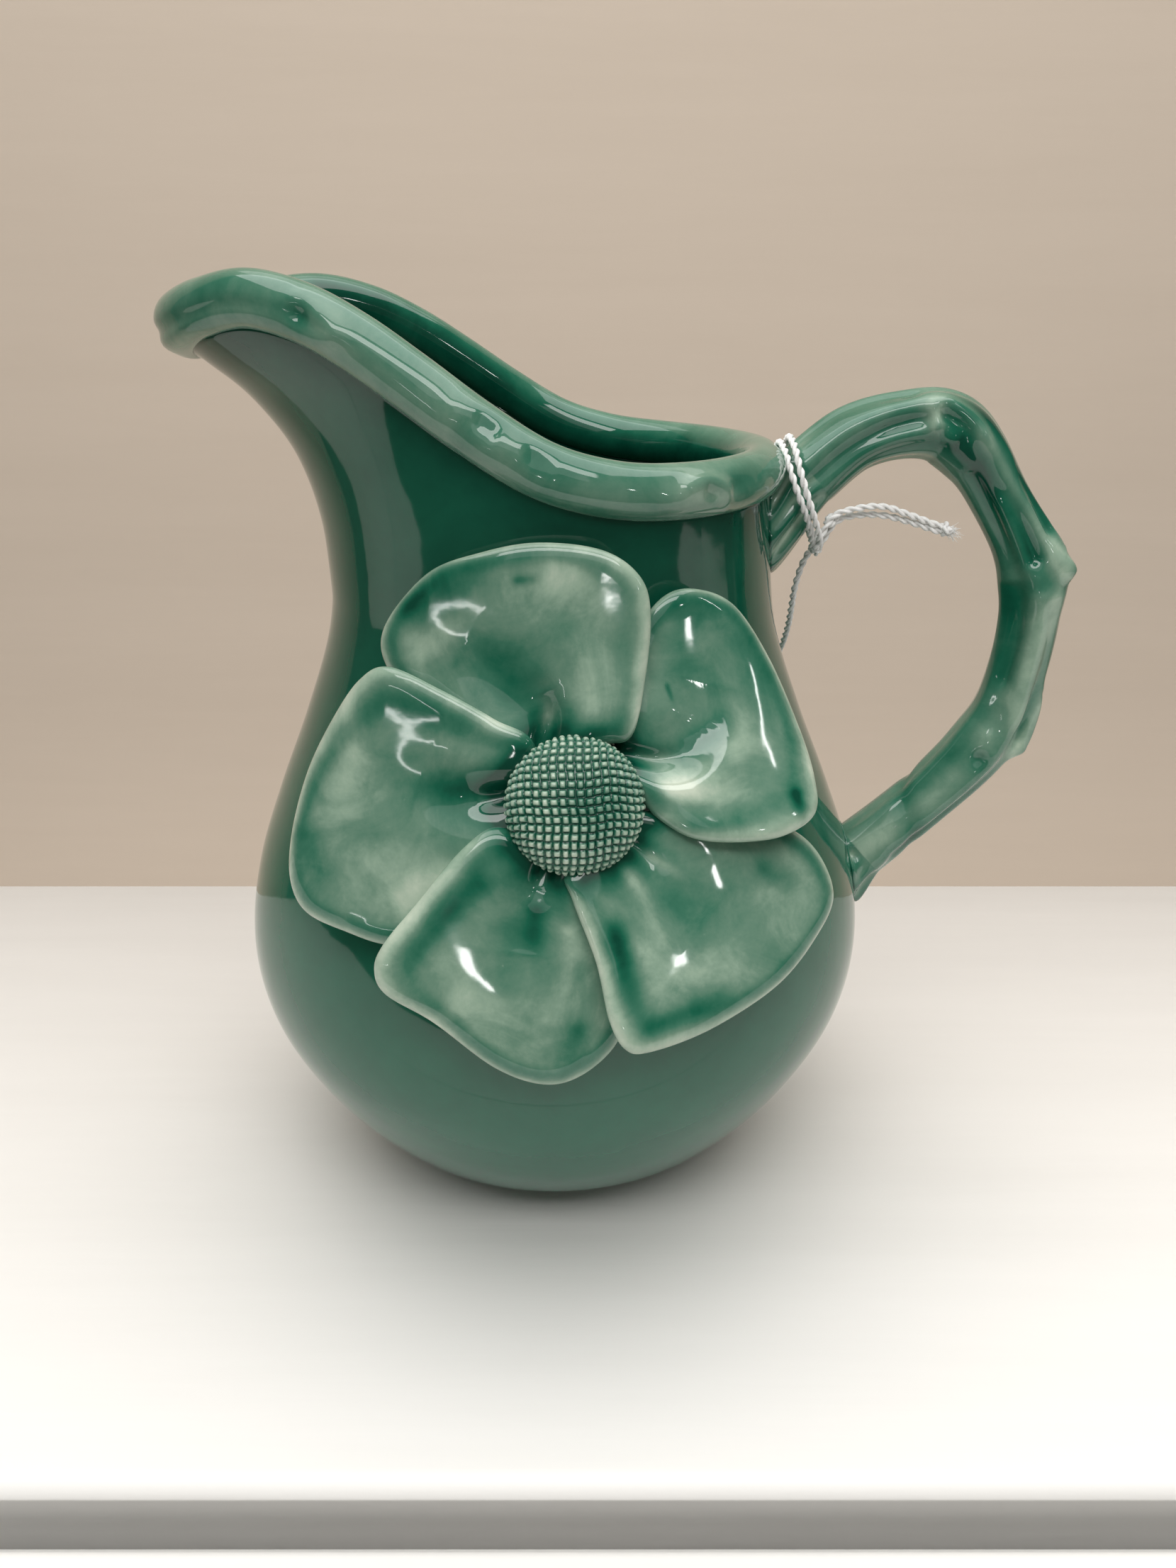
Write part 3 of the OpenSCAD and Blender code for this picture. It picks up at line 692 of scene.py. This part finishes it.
def make_rim(finish):
    """The twig along the rim: painted shade on its inner side, paler outside from thin glaze and a painted
    reflection of the board, with glaze pooled in its marks.
    """
    a = (np.arange(RIM_COLUMNS) * 360 / RIM_COLUMNS)[:, None]
    w = np.linspace(-180, 180, RIM_SIDES, endpoint=False)[None]
    r = roll_r(a)
    relief = rim_relief(a, w)
    turn = np.radians(w)[..., None]
    rings = roll_middle(a) + (r + relief)[..., None] * (
        np.cos(turn) * roll_up(a) + np.sin(turn) * roll_out(a))
    skin = loft(rings, joined=True)
    marks = 0.4 * np.clip(-relief, 0, 2) - 0.16 * np.clip(relief, 0, 1)
    # Painted shade on the twig's inner side, and a paler outer side that is partly thin glaze and partly a
    # painted reflection of the board.
    side_shade_and_reflection = 0.34 * bump(w + 100, 42) - 0.12 * bump(w - 90, 50)
    depth = 0.55 * np.clip(hollowness(*skin, 2.2) + 0.35, -0.4, 0.7) + (marks + side_shade_and_reflection).ravel()
    return piece("rim", skin, finish, "glaze", ["rim_twig", "rim_knot_spout", "rim_knot_back"], depth=depth)


# ---- Handle ----

# Mesh of the handle: points round it and rings along it
TWIG_SIDES = 80
TWIG_ROWS = 400
# How far a root reaches out before it has become the twig, in mm
ROOT_REACH = 14
# Share of a root's outline that shows above the slip that joins it to the body
ROOT_SEEN = 0.88
# Mean distance between the points of the handle's middle line, in mm
TWIG_STEP = 11
# Lines on the twig: height, width, how much wider its end is, then its way as [place, turn from +Y]
TWIG_LINES = [
    (-1.1, 1.2, 1, [[2.4, 164], [1.8, 170], [1.1, 184], [0.4, 180], [-0.4, 178]]),
    (0.6, 1.8, 1, [[2.3, 138], [1.7, 144], [0.8, 152], [-0.4, 146]]),
    (0.4, 1.2, 1, [[2.5, 182], [1.8, 190], [0.9, 197], [-0.4, 194]]),
    (-0.6, 1.2, 1, [[2.7, 204], [1.8, 214], [0.9, 218], [-0.4, 216]]),
    (1.2, 1.1, 1, [[2.62, 178], [2.5, 160], [2.62, 144], [3.0, 146], [3.4, 157], [3.9, 167]]),
    (-1.3, 1.0, 1, [[2.8, 158], [3.0, 165], [3.4, 174]]),
    (-0.7, 1.3, 1, [[3.0, 212], [3.8, 205], [4.5, 212], [5.4, 220]]),
    (0.6, 1.4, 1, [[3.6, 168], [4.4, 174], [5.0, 167], [5.7, 166]]),
    (-1.1, 1.0, 1, [[5.8, 136], [5.6, 135], [5.2, 132], [4.6, 130]]),
    (1.3, 1.7, 1, [[6.9, 130], [6.4, 146], [5.9, 150], [5.2, 152]]),
    (-0.8, 1.1, 1, [[6.7, 106], [6.4, 124]]),
    (0.7, 1.8, 1, [[6.85, 112], [6.3, 104]]),
    (2.4, 1.6, 1, [[10.5, 112], [10.1, 106], [9.5, 100]]),
    (-1.0, 1.1, 1, [[6.2, 186], [5.7, 181], [5.2, 174], [4.8, 172]]),
    (0.5, 1.2, 1, [[5.0, 194], [5.6, 198], [6.2, 202], [7.0, 201]]),
    (-0.6, 1.3, 1, [[4.2, 216], [5.0, 220], [5.6, 226], [6.5, 236]]),
    (0.6, 1.8, 1, [[10.0, 168], [9.4, 182], [8.1, 190], [7.4, 198]]),
    (-1.0, 1.1, 1, [[10.4, 130], [9.9, 142], [9.3, 152], [8.3, 155], [7.6, 160]]),
    (-0.7, 1.1, 1, [[9.3, 220], [8.8, 219], [8.0, 217], [7.2, 220]]),
    (-1.0, 1.0, 1, [[11.05, 186], [11.2, 192]]),
    (0.5, 1.3, 1, [[10.6, 200], [10.9, 186], [10.9, 168]]),
    (-0.5, 1.4, 1, [[14.2, 190], [13.2, 186], [12.4, 180]]),
    (0.4, 1.5, 1, [[14.2, 222], [13.2, 214], [12, 206]]),
    (-0.9, 1.2, 1, [[2.5, 20], [1.6, 10], [0.6, 2], [-0.3, 0]]),
    (0.7, 1.6, 1, [[2.6, 44], [1.6, 38], [0.5, 30]]),
    (-0.8, 1.2, 1, [[3.1, 18], [4.2, 24], [5.2, 14], [6.1, 20]]),
    (0.6, 1.5, 1, [[3.2, 350], [4.4, 356], [5.8, 346]]),
    (-0.9, 1.1, 1, [[7.0, 12], [8.2, 20], [9.6, 14], [10.4, 24]]),
    (0.6, 1.6, 1, [[6.8, 350], [8.6, 356], [10, 350]]),
    (-0.7, 1.2, 1, [[10.9, 350], [12, 354], [13.6, 0]]),
    (0.5, 1.6, 1, [[11, 20], [12.6, 28], [14, 30]]),
    (-0.8, 1.6, 1, [[2.2, 116], [1.4, 120], [0.4, 122]]),
    (-0.9, 1.8, 1, [[3.1, 126], [4, 122], [5, 118], [5.7, 114]]),
    (-1.1, 1.9, 1, [[7.2, 118], [8.2, 118], [9.4, 120]]),
    (0.9, 1.7, 1, [[7.4, 140], [8.4, 140], [9.6, 142]]),
    (-0.9, 1.4, 1, [[3.4, 188], [4.4, 192], [5.6, 190], [6.4, 188]]),
    (0.7, 1.8, 1, [[7.4, 178], [8.6, 174], [9.8, 168]]),
    (-0.9, 1.5, 1, [[13.4, 148], [12.2, 142], [11.2, 138]]),
    (-0.8, 1.6, 1, [[7, 238], [8.2, 240], [9.4, 238]]),
    (0.8, 2.2, 1, [[14, 190], [13, 184], [12, 178], [11.2, 176]]),
]


def twig_at(u):
    p = along(TWIG, u)
    return np.stack([p[..., 0], np.zeros(p.shape[:-1]), p[..., 1]], -1)


def twig_way(u):
    last = len(TWIG) - 1
    return unit(twig_at(np.minimum(u + 0.05, last)) - twig_at(np.maximum(u - 0.05, 0)))


def bark(u, w):
    """Ridges and grooves along the twig, in mm, by place along it and turn from its +Y side."""
    x, y = np.broadcast_arrays(u * TWIG_STEP, np.radians(w) * TWIG_R)
    total = 0.14 * np.cos(np.radians(9 * w + 40 * np.sin(u)))
    for height, width, spread, points in TWIG_LINES:
        for lap in (-360, 0, 360):
            scaled = [[p * TWIG_STEP, math.radians(q + lap) * TWIG_R] for p, q in points]
            total = total + 1.1 * height * trail(x, y, scaled, 1.6 * width, spread)
    return total


def twig_rings(u):
    """Rings of the fluted twig, which start at its +Y side."""
    side = np.array([0.0, 1.0, 0.0])
    up = np.cross(twig_way(u), side)
    turn = circle(TWIG_SIDES)[None, :, None]
    around = np.cos(turn) * side + np.sin(turn) * up[:, None]
    place, w = u[:, None], np.degrees(circle(TWIG_SIDES))[None]
    flutes = 1 + FLUTE * np.cos(np.radians(5 * w + 20 * place))
    r = TWIG_R * smooth(TWIG_SWELL, place) * flutes + bark(place, w)
    return twig_at(u)[:, None] + r[..., None] * around


def beside(y, z):
    """Points on the body's outside at the handle."""
    return np.stack([np.sqrt(smooth(BODY, z) ** 2 - y**2), y, z], -1)


def root_rings(root, u, turn):
    """Rings from the body to the twig's end at u; turn is 1 for the upper root and -1 for the lower."""
    w = circle(TWIG_SIDES)
    half_height, half_width = ROOT_SEEN * root[1], ROOT_SEEN * root[2]
    low = beside(half_width * np.cos(w), root[0] + turn * half_height * np.sin(w))
    foot = beside(np.zeros(1), np.full(1, float(root[0])))
    end = np.array([float(u)])
    leave = np.array([ROOT_REACH / 3, 0, 0])
    arrive = ROOT_REACH * twig_way(end)[0] * turn
    s = np.linspace(0, 1, 40)[:-1, None, None]
    rings = bend(low[None], leave, twig_rings(end), arrive, s)
    middle = bend(foot[None], leave, twig_at(end)[None], arrive, s)
    ridges = 0.08 * np.cos(6 * w) + 0.06 * np.cos(11 * w + 1)
    return middle + (rings - middle) * (1 + 4 * s * (1 - s) * ridges[None, :, None])


def make_handle(finish):
    """The twig and the roots at its two ends, which the potter smoothed into one piece of clay."""
    last = len(TWIG) - 1
    u = np.linspace(0, last, TWIG_ROWS)
    upper = root_rings(ROOT_UPPER, 0, 1)
    lower = root_rings(ROOT_LOWER, last, -1)[::-1]
    rings = np.concatenate([upper, twig_rings(u), lower])
    relief = np.zeros(rings.shape[:2])
    relief[len(upper):-len(lower)] = bark(u[:, None], np.degrees(circle(TWIG_SIDES))[None])
    skin = loft(rings)
    depth = clay_depth(skin, 0.0, 1.8)
    depth[:relief.size] -= 0.42 * np.clip(relief, -1.3, 0.9).ravel()
    nodes = ["handle_root_upper", "handle_twig", "handle_knot_top", "handle_knot_side", "handle_knot_low",
             "handle_root_lower"]
    return piece("handle", skin, finish, "glaze", nodes, depth=depth)


# ---- Flower ----

# Mesh of a petal: points round it, rings on its rounded lip and rings from there to its middle
PETAL_COLUMNS = 220
LIP_ROWS = 14
PETAL_ROWS = 46
# How far in from the edge a petal's top is rounded, in mm
PETAL_ROUND = 4.2
# Radius of the pad where it meets the body
PAD_R = 16


def in_flower(u, v, h):
    return FLOWER_AT + u[..., None] * ACROSS + v[..., None] * UP + h[..., None] * OUT


def fall(u, v):
    """How far the body lies behind the flower's plane."""
    d = np.zeros_like(u)
    for _ in range(5):
        q = in_flower(u, v, -d)
        a = np.degrees(np.arctan2(q[..., 1], q[..., 0]))
        lean = OUT[0] * np.cos(np.radians(a)) + OUT[1] * np.sin(np.radians(a))
        d = d + (np.hypot(q[..., 0], q[..., 1]) - outer_r(a, q[..., 2])) / np.maximum(lean, 0.35)
    return d


# Folds of each petal: depth, width, how much wider its end is, then its way from the dome outwards.
# The first is the slit at the dome, the second the wide hollow that it opens into, and the rest are faint
FOLDS = {
    "petal_top": [
        (2.6, 1.2, 2.2, [[-7, 9], [-6, 14], [-5, 19], [-6, 23]]),
        (2.0, 4.6, 1.5, [[-7, 10], [-8, 18], [-14, 26], [-22, 31]]),
        (-0.7, 3.2, 1.4, [[2, 13], [4, 22], [1, 30], [-6, 35]]),
    ],
    "petal_right": [
        (2.6, 1.1, 2.2, [[5, 11], [11, 10], [16, 9], [21, 9.5]]),
        (1.9, 4.2, 1.5, [[7, 12], [16, 11], [24, 15], [27, 24]]),
        (-0.7, 3.0, 1.3, [[12, 4], [20, 3], [27, 5], [33, 11]]),
    ],
    "petal_low_right": [
        (1.3, 1.2, 1.8, [[8, -6], [12, -9], [15, -12]]),
        (1.4, 4.4, 1.6, [[8, -6], [16, -13], [26, -22]]),
        (0.4, 1.5, 1.8, [[6, -9], [10, -14], [13, -21]]),
        (0.35, 1.4, 1.8, [[11, -4], [17, -8], [24, -11]]),
        (-0.4, 1.8, 1.8, [[10, -6], [15, -10], [22, -15]]),
    ],
    "petal_low_left": [
        (2.6, 1.3, 1.8, [[-5, -8], [-7, -12], [-8.5, -16]]),
        (1.8, 4.2, 1.5, [[-6, -9], [-10, -18], [-12, -28]]),
        (-0.4, 1.6, 1.8, [[-4, -11], [-4, -17], [-4, -24]]),
        (0.35, 1.4, 1.8, [[-1, -10], [-2, -16], [-2, -23]]),
    ],
    "petal_left": [
        (2.4, 1.3, 1.8, [[-9, 4], [-15, 3], [-20, 2.5]]),
        (2.2, 4.8, 1.4, [[-9, 4], [-20, 2.5], [-31, 6]]),
        (-0.6, 2.6, 1.5, [[-12, 8], [-20, 9.5], [-28, 13]]),
    ],
}
# Patches painted darker or paler on each petal: amount, width, then the way of that patch
PETAL_TONES = {
    "petal_top": [
        (0.42, 3.2, [[-31, 41], [-24, 43], [-16, 47]]),
        (0.3, 0.9, [[-10.5, 44], [-7, 44]]),
        (0.22, 5, [[-12, 26], [-17, 32], [-24, 30]]),
        (-0.08, 3, [[9, 22], [10, 30], [9, 36]]),
        (-0.22, 3.5, [[-30, 33], [-20, 36]]),
        (-0.25, 5, [[-2, 45], [6, 40]]),
        (-0.18, 3, [[0, 13], [3, 22]]),
    ],
    "petal_right": [
        (0.26, 2.8, [[22, 38], [30, 37], [36, 30], [41, 20]]),
        (0.16, 5, [[22, 30], [24, 20]]),
        (0.24, 2.5, [[24, 12], [31, 17]]),
        (-0.5, 3.4, [[12, 5], [20, 3], [29, 3]]),
        (0.6, 1.5, [[44.5, 1], [45.5, -3]]),
        (0.3, 0.5, [[18.5, 23.5], [19.5, 20.5]]),
        (0.24, 1.6, [[18, -4], [26, -4.5], [36, -3]]),
        (-0.16, 3, [[32, 10], [36, 20]]),
    ],
    "petal_low_right": [
        (0.4, 2.2, [[6, -24], [7.5, -34], [10, -43]]),
        (0.3, 2, [[12, -43], [22, -40], [30, -37]]),
        (0.12, 4.5, [[18, -20], [26, -26]]),
        (-0.3, 1.6, [[9, -13], [13, -19]]),
        (-0.26, 1.2, [[14, -10], [20, -14]]),
        (0.2, 2.6, [[38, -14], [46, -18]]),
        (-0.14, 4, [[20, -33], [34, -30]]),
        (-0.15, 2.5, [[12, -28], [14, -34]]),
    ],
    "petal_low_left": [
        (0.42, 2.8, [[-20, -14], [-27, -20], [-34, -28]]),
        (0.34, 2.2, [[-9, -20], [-10, -29]]),
        (0.3, 2.4, [[-2, -44], [-5, -50]]),
        (-0.16, 4, [[-24, -36], [-14, -40]]),
        (0.16, 5, [[-14, -24], [-18, -36]]),
        (-0.16, 2, [[-3, -24], [-3, -34]]),
    ],
    "petal_left": [
        (0.42, 3.2, [[-15, 4], [-24, 5], [-33, 6]]),
        (0.3, 3.4, [[-22, 18], [-32, 22], [-40, 21]]),
        (-0.4, 5, [[-26, -14], [-38, -17]]),
        (-0.22, 4, [[-44, 12], [-48, 0]]),
        (0.2, 2.4, [[-54, -4], [-53, -14]]),
        (-0.16, 2.4, [[-16, -6], [-24, -12]]),
    ],
}


def petal_side(name, u, v):
    """Place across a petal, from -1 at its tucked side to 1 at its raised side."""
    _, _, way, half_width = PETALS[name]
    return (u * math.sin(math.radians(way)) - v * math.cos(math.radians(way))) / half_width


def petal_h(name, u, v):
    """Height of a petal's middle layer above the flower's plane."""
    side = petal_side(name, u, v)
    folds = sum(depth * trail(u, v, points, width, spread) for depth, width, spread, points in FOLDS[name])
    return (PETAL_GAP - PETAL_FOLLOW * fall(u, v)
            + PETAL_TILT * np.clip(side, -1, 1) * ease(np.hypot(u, v) / 20)
            + PETAL_CUP * np.maximum(side, 0) ** 2 - folds)


def petal_grid(name):
    """Points of a petal in the flower's plane, and how far in from its edge each one lies.

    Rings run close together round the lip, then evenly to the middle.
    """
    outline, middle, _, _ = PETALS[name]
    middle = np.array(middle, float)
    at = np.arange(PETAL_COLUMNS) * len(outline) / PETAL_COLUMNS
    spoke = along(outline, at, closed=True) - middle
    long = np.linalg.norm(spoke, axis=1)
    lip = PETAL_ROUND * (1 - np.cos(np.linspace(0, math.pi / 2, LIP_ROWS)))
    flat = np.linspace(0, 1, PETAL_ROWS)[1:]
    insets = np.concatenate([np.repeat(lip[:, None], PETAL_COLUMNS, 1),
                             PETAL_ROUND + flat[:, None] * (long - PETAL_ROUND) * 0.985])
    uv = middle + spoke * (1 - insets / long)[..., None]
    return uv[..., 0], uv[..., 1], insets


def rounded(inset, radius):
    """Share of its full height that an edge rounded to a radius has at an inset."""
    return np.sqrt(np.clip(1 - (1 - np.minimum(inset / radius, 1)) ** 2, 0, 1))


def petal_pools_and_shade(name, u, v, insets):
    """How much deeper the glaze is painted on a petal: thin on its lip, deep in its folds, with darker and
    paler patches, and painted shade in a ring by the dome.
    """
    lip = 1.2 + 2.3 * ease(petal_side(name, u, v))
    laid = -0.44 * bump(insets, lip) + 0.12 * bump(insets - 2.2 * lip, lip)
    laid += sum(amount * trail(u, v, points, width) for amount, width, points in PETAL_TONES[name])
    laid += 0.12 * sum(depth * trail(u, v, points, width, spread)
                       for depth, width, spread, points in FOLDS[name])
    # Painted shade in a ring round the dome, where the petals meet it.
    return laid + 0.46 * bump(np.hypot(u - DOME_AT[0], v - DOME_AT[1]) - DOME_R, 3.6)


def make_petal(name, finish):
    u, v, insets = petal_grid(name)
    h = petal_h(name, u, v)
    half = PETAL_T / 2
    top = in_flower(u, v, h + half * rounded(insets, PETAL_ROUND))
    bottom = in_flower(u, v, h - half * rounded(insets, half))
    skin = loft(np.concatenate([bottom[::-1], top[1:]]))
    pools_and_shade = petal_pools_and_shade(name, u, v, insets)
    pools_and_shade = np.concatenate([pools_and_shade[::-1], pools_and_shade[1:]]).ravel()
    depth = clay_depth(skin, -0.14, 2.5)
    depth[:len(pools_and_shade)] += pools_and_shade
    return piece(name + "_clay", skin, finish, "petal_glaze", [name], depth=depth)


def make_pad(finish):
    """Clay seat between the body and the flower."""
    w = circle(72)
    c, s = np.cos(w), np.sin(w)
    steps = [[15, 1.4], [12.5, 2.6], [9.5, PAD_TOP]]
    rings = [in_flower(PAD_R * c, PAD_R * s, -fall(PAD_R * c, PAD_R * s))]
    rings += [in_flower(r * c, r * s, np.full(len(w), h)) for r, h in steps]
    skin = loft(np.array(rings))
    return piece("flower_seat", skin, finish, "glaze", ["flower_pad"], depth=np.full(len(skin[0]), 0.3))


# Size of the cloth's squares on the dome, and the mesh that shows them, in mm and points round
DOME_CELL = 1.72
DOME_STEP = 0.2
DOME_COLUMNS = 380


def make_dome(finish):
    """Dome pressed with a coarse cloth: raised squares over and under each other, glaze in the gaps."""
    waist, swell, top = 8.5, 6.3, 13.4
    stem = [[waist, 0], [waist, swell - 3.5], [DOME_R - 1, swell - 2]]
    cap = [[DOME_R * math.cos(w), swell + (top - swell) * math.sin(w)]
           for w in np.linspace(0, math.pi / 2, 20)]
    outline = np.array(stem + cap)
    length = np.concatenate([[0], np.cumsum(np.linalg.norm(np.diff(outline, axis=0), axis=1))])
    at = np.linspace(0, length[-1], int(length[-1] / DOME_STEP))
    r, h = (np.interp(at, length, outline[:, k]) for k in (0, 1))
    to_top = length[-1] - at
    w = circle(DOME_COLUMNS)
    x = to_top[:, None] * np.cos(w)
    y = to_top[:, None] * np.sin(w)
    wave = weave(x, y)
    fade = ease((to_top.max() - to_top - 2) / 5)[:, None]
    slope = unit(np.stack([np.gradient(h), -np.gradient(r)], 1))
    lift = 0.7 * (wave - 0.75) * fade
    rr = r[:, None] + slope[:, :1] * lift
    hh = h[:, None] + slope[:, 1:] * lift
    rings = in_flower(DOME_AT[0] + rr * np.cos(w), DOME_AT[1] + rr * np.sin(w), PAD_TOP + hh)
    skin = loft(rings)
    teal = 0.25 * bump(np.hypot(x - 3, y - 1), 6)
    depth = np.concatenate([(0.95 - 0.85 * wave * fade + teal).ravel(), [1, 0.5]])
    return piece("flower_dome", skin, finish, "dome_glaze", ["flower_centre"], depth=depth)


def weave(x, y):
    """Height from 0 to 1 of a plain weave, whose threads wander a little."""
    x = x + 0.22 * np.sin(y / 3.1) + 0.12 * np.sin(y / 1.3 + 1)
    y = y + 0.22 * np.sin(x / 2.7 + 2) + 0.12 * np.sin(x / 1.5)
    i, j = np.floor(x / DOME_CELL), np.floor(y / DOME_CELL)
    fx, fy = x / DOME_CELL - i - 0.5, y / DOME_CELL - j - 0.5
    over = (i + j) % 2
    long_x, long_y = np.where(over, 0.47, 0.37), np.where(over, 0.37, 0.47)
    high_x = np.clip(1 - (np.abs(fx) / long_x) ** 3.5, 0, 1)
    high_y = np.clip(1 - (np.abs(fy) / long_y) ** 3.5, 0, 1)
    return (high_x * high_y) ** 0.7


# ---- Stage ----


def add_stage(name, skin, finish):
    points, faces = skin
    mesh = bpy.data.meshes.new(name)
    mesh.from_pydata((np.array(points) * MM).tolist(), [], faces)
    mesh.polygons.foreach_set("use_smooth", [True] * len(mesh.polygons))
    mesh.materials.append(finish)
    made = bpy.data.objects.new(name, mesh)
    bpy.context.scene.collection.objects.link(made)


def swept(profile, half_width):
    """Sheet from a profile in Y and Z, drawn along X."""
    points = [[x, y, z] for x in (-half_width, half_width) for y, z in profile]
    n = len(profile)
    return points, [[i, i + 1, n + i + 1, n + i] for i in range(n - 1)]


def arc(y, z, r, start, end, steps=12):
    """Points of a profile along an arc, from start to end in degrees."""
    return [[y + r * math.cos(math.radians(w)), z + r * math.sin(math.radians(w))]
            for w in np.linspace(start, end, steps)]


def make_stage():
    """White board with a rounded front edge, a second board below it, and a plain wall behind."""
    white = paint("white_paint", (0.78, 0.773, 0.752), (0.84, 0.833, 0.815), 0.5)
    beige = paint("beige_wall", (0.6, 0.512, 0.422), (0.63, 0.54, 0.448), 0.8)
    board = [[-122, -40], [-122, -4]] + arc(-118, -4, 4, 180, 90) + [[128, 0], [128, -40]]
    add_stage("floor", swept(board, 900), white)
    lower = [[-126, -40], [-126, -12]] + arc(-130, -12, 3, 0, 90) + [[-300, -9]]
    add_stage("lower_board", swept(lower[::-1], 900), white)
    wall = [[60, -500], [380, -500]] + arc(380, -280, 220, -90, 0) + [[600, 1600]]
    add_stage("backdrop", swept(wall, 1500), beige)


def area_light(name, at, look_at, size, power):
    """Soft rectangular lamp of near-white light, which the camera itself doesn't see."""
    data = bpy.data.lights.new(name, "AREA")
    data.shape = "RECTANGLE"
    data.size, data.size_y = size
    data.energy = power
    data.color = (1.0, 0.985, 0.965)
    light = bpy.data.objects.new(name, data)
    light.location = at
    light.rotation_euler = (Vector(look_at) - Vector(at)).to_track_quat("-Z", "Y").to_euler()
    light.visible_camera = False
    bpy.context.scene.collection.objects.link(light)


def small_lamp(name, azimuth, elevation, size, power):
    """Lamp 1.5 m from the flower, azimuth degrees to the right of straight ahead, for a crisp glint."""
    a, e = math.radians(azimuth), math.radians(elevation)
    way = Vector((math.sin(a) * math.cos(e), -math.cos(a) * math.cos(e), math.sin(e)))
    flower = Vector((0, -0.06, 0.12))
    area_light(name, flower + 1.5 * way, flower, size, power)


def make_lights():
    """A broad ceiling light, softer ones for the front, the back and the wall, and four glints."""
    middle = (0, 0, 0.1)
    area_light("ceiling", (0.0, 0.1, 1.6), middle, (2.2, 1.6), 31)
    area_light("front_soft", (0, -0.9, 1.25), (0, 0.6, -0.4), (1.6, 0.4), 12)
    area_light("wall_low", (0, 0.22, -0.35), (0, 0.6, -0.15), (1.8, 0.2), 1.5)
    area_light("back_fill", (0, 0.5, 0.95), middle, (1.0, 0.5), 1.6)
    area_light("room_front", (0, -1.4, 1.1), middle, (1.6, 0.7), 2.6)
    small_lamp("glint_left", -37, 0, (0.5, 0.012), 0.35)
    small_lamp("glint_front", 2.4, 2.6, (0.06, 0.06), 0.28)
    small_lamp("glint_right", 46, 17, (0.05, 0.06), 0.25)
    small_lamp("glint_far_right", 71, 28, (0.025, 0.24), 0.45)


def make_world():
    """Dim warm room all round, and colours shown as they are lit."""
    world = bpy.data.worlds.new("room")
    world.use_nodes = True
    background = world.node_tree.nodes["Background"]
    background.inputs["Color"].default_value = (0.62, 0.58, 0.53, 1)
    background.inputs["Strength"].default_value = 0.12
    bpy.context.scene.world = world
    bpy.context.scene.view_settings.view_transform = "Standard"


# ---- The pitcher ----

make_camera()
make_string()
body_glaze = glaze("body_glaze", 0.83, 0.05)
twig_glaze = glaze("twig_glaze", 0.34, 0.15)
petal_glaze = glaze("petal_glaze", 0.37, 0.2)
dome_glaze = glaze("dome_glaze", 0.0, 0.2)
make_body(body_glaze)
make_rim(twig_glaze)
make_handle(twig_glaze)
make_pad(body_glaze)
for petal_name in PETALS:
    make_petal(petal_name, petal_glaze)
make_dome(dome_glaze)
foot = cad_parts["foot_ring"]
foot.data.materials.clear()
foot.data.materials.append(bisque())
make_stage()
make_lights()
make_world()
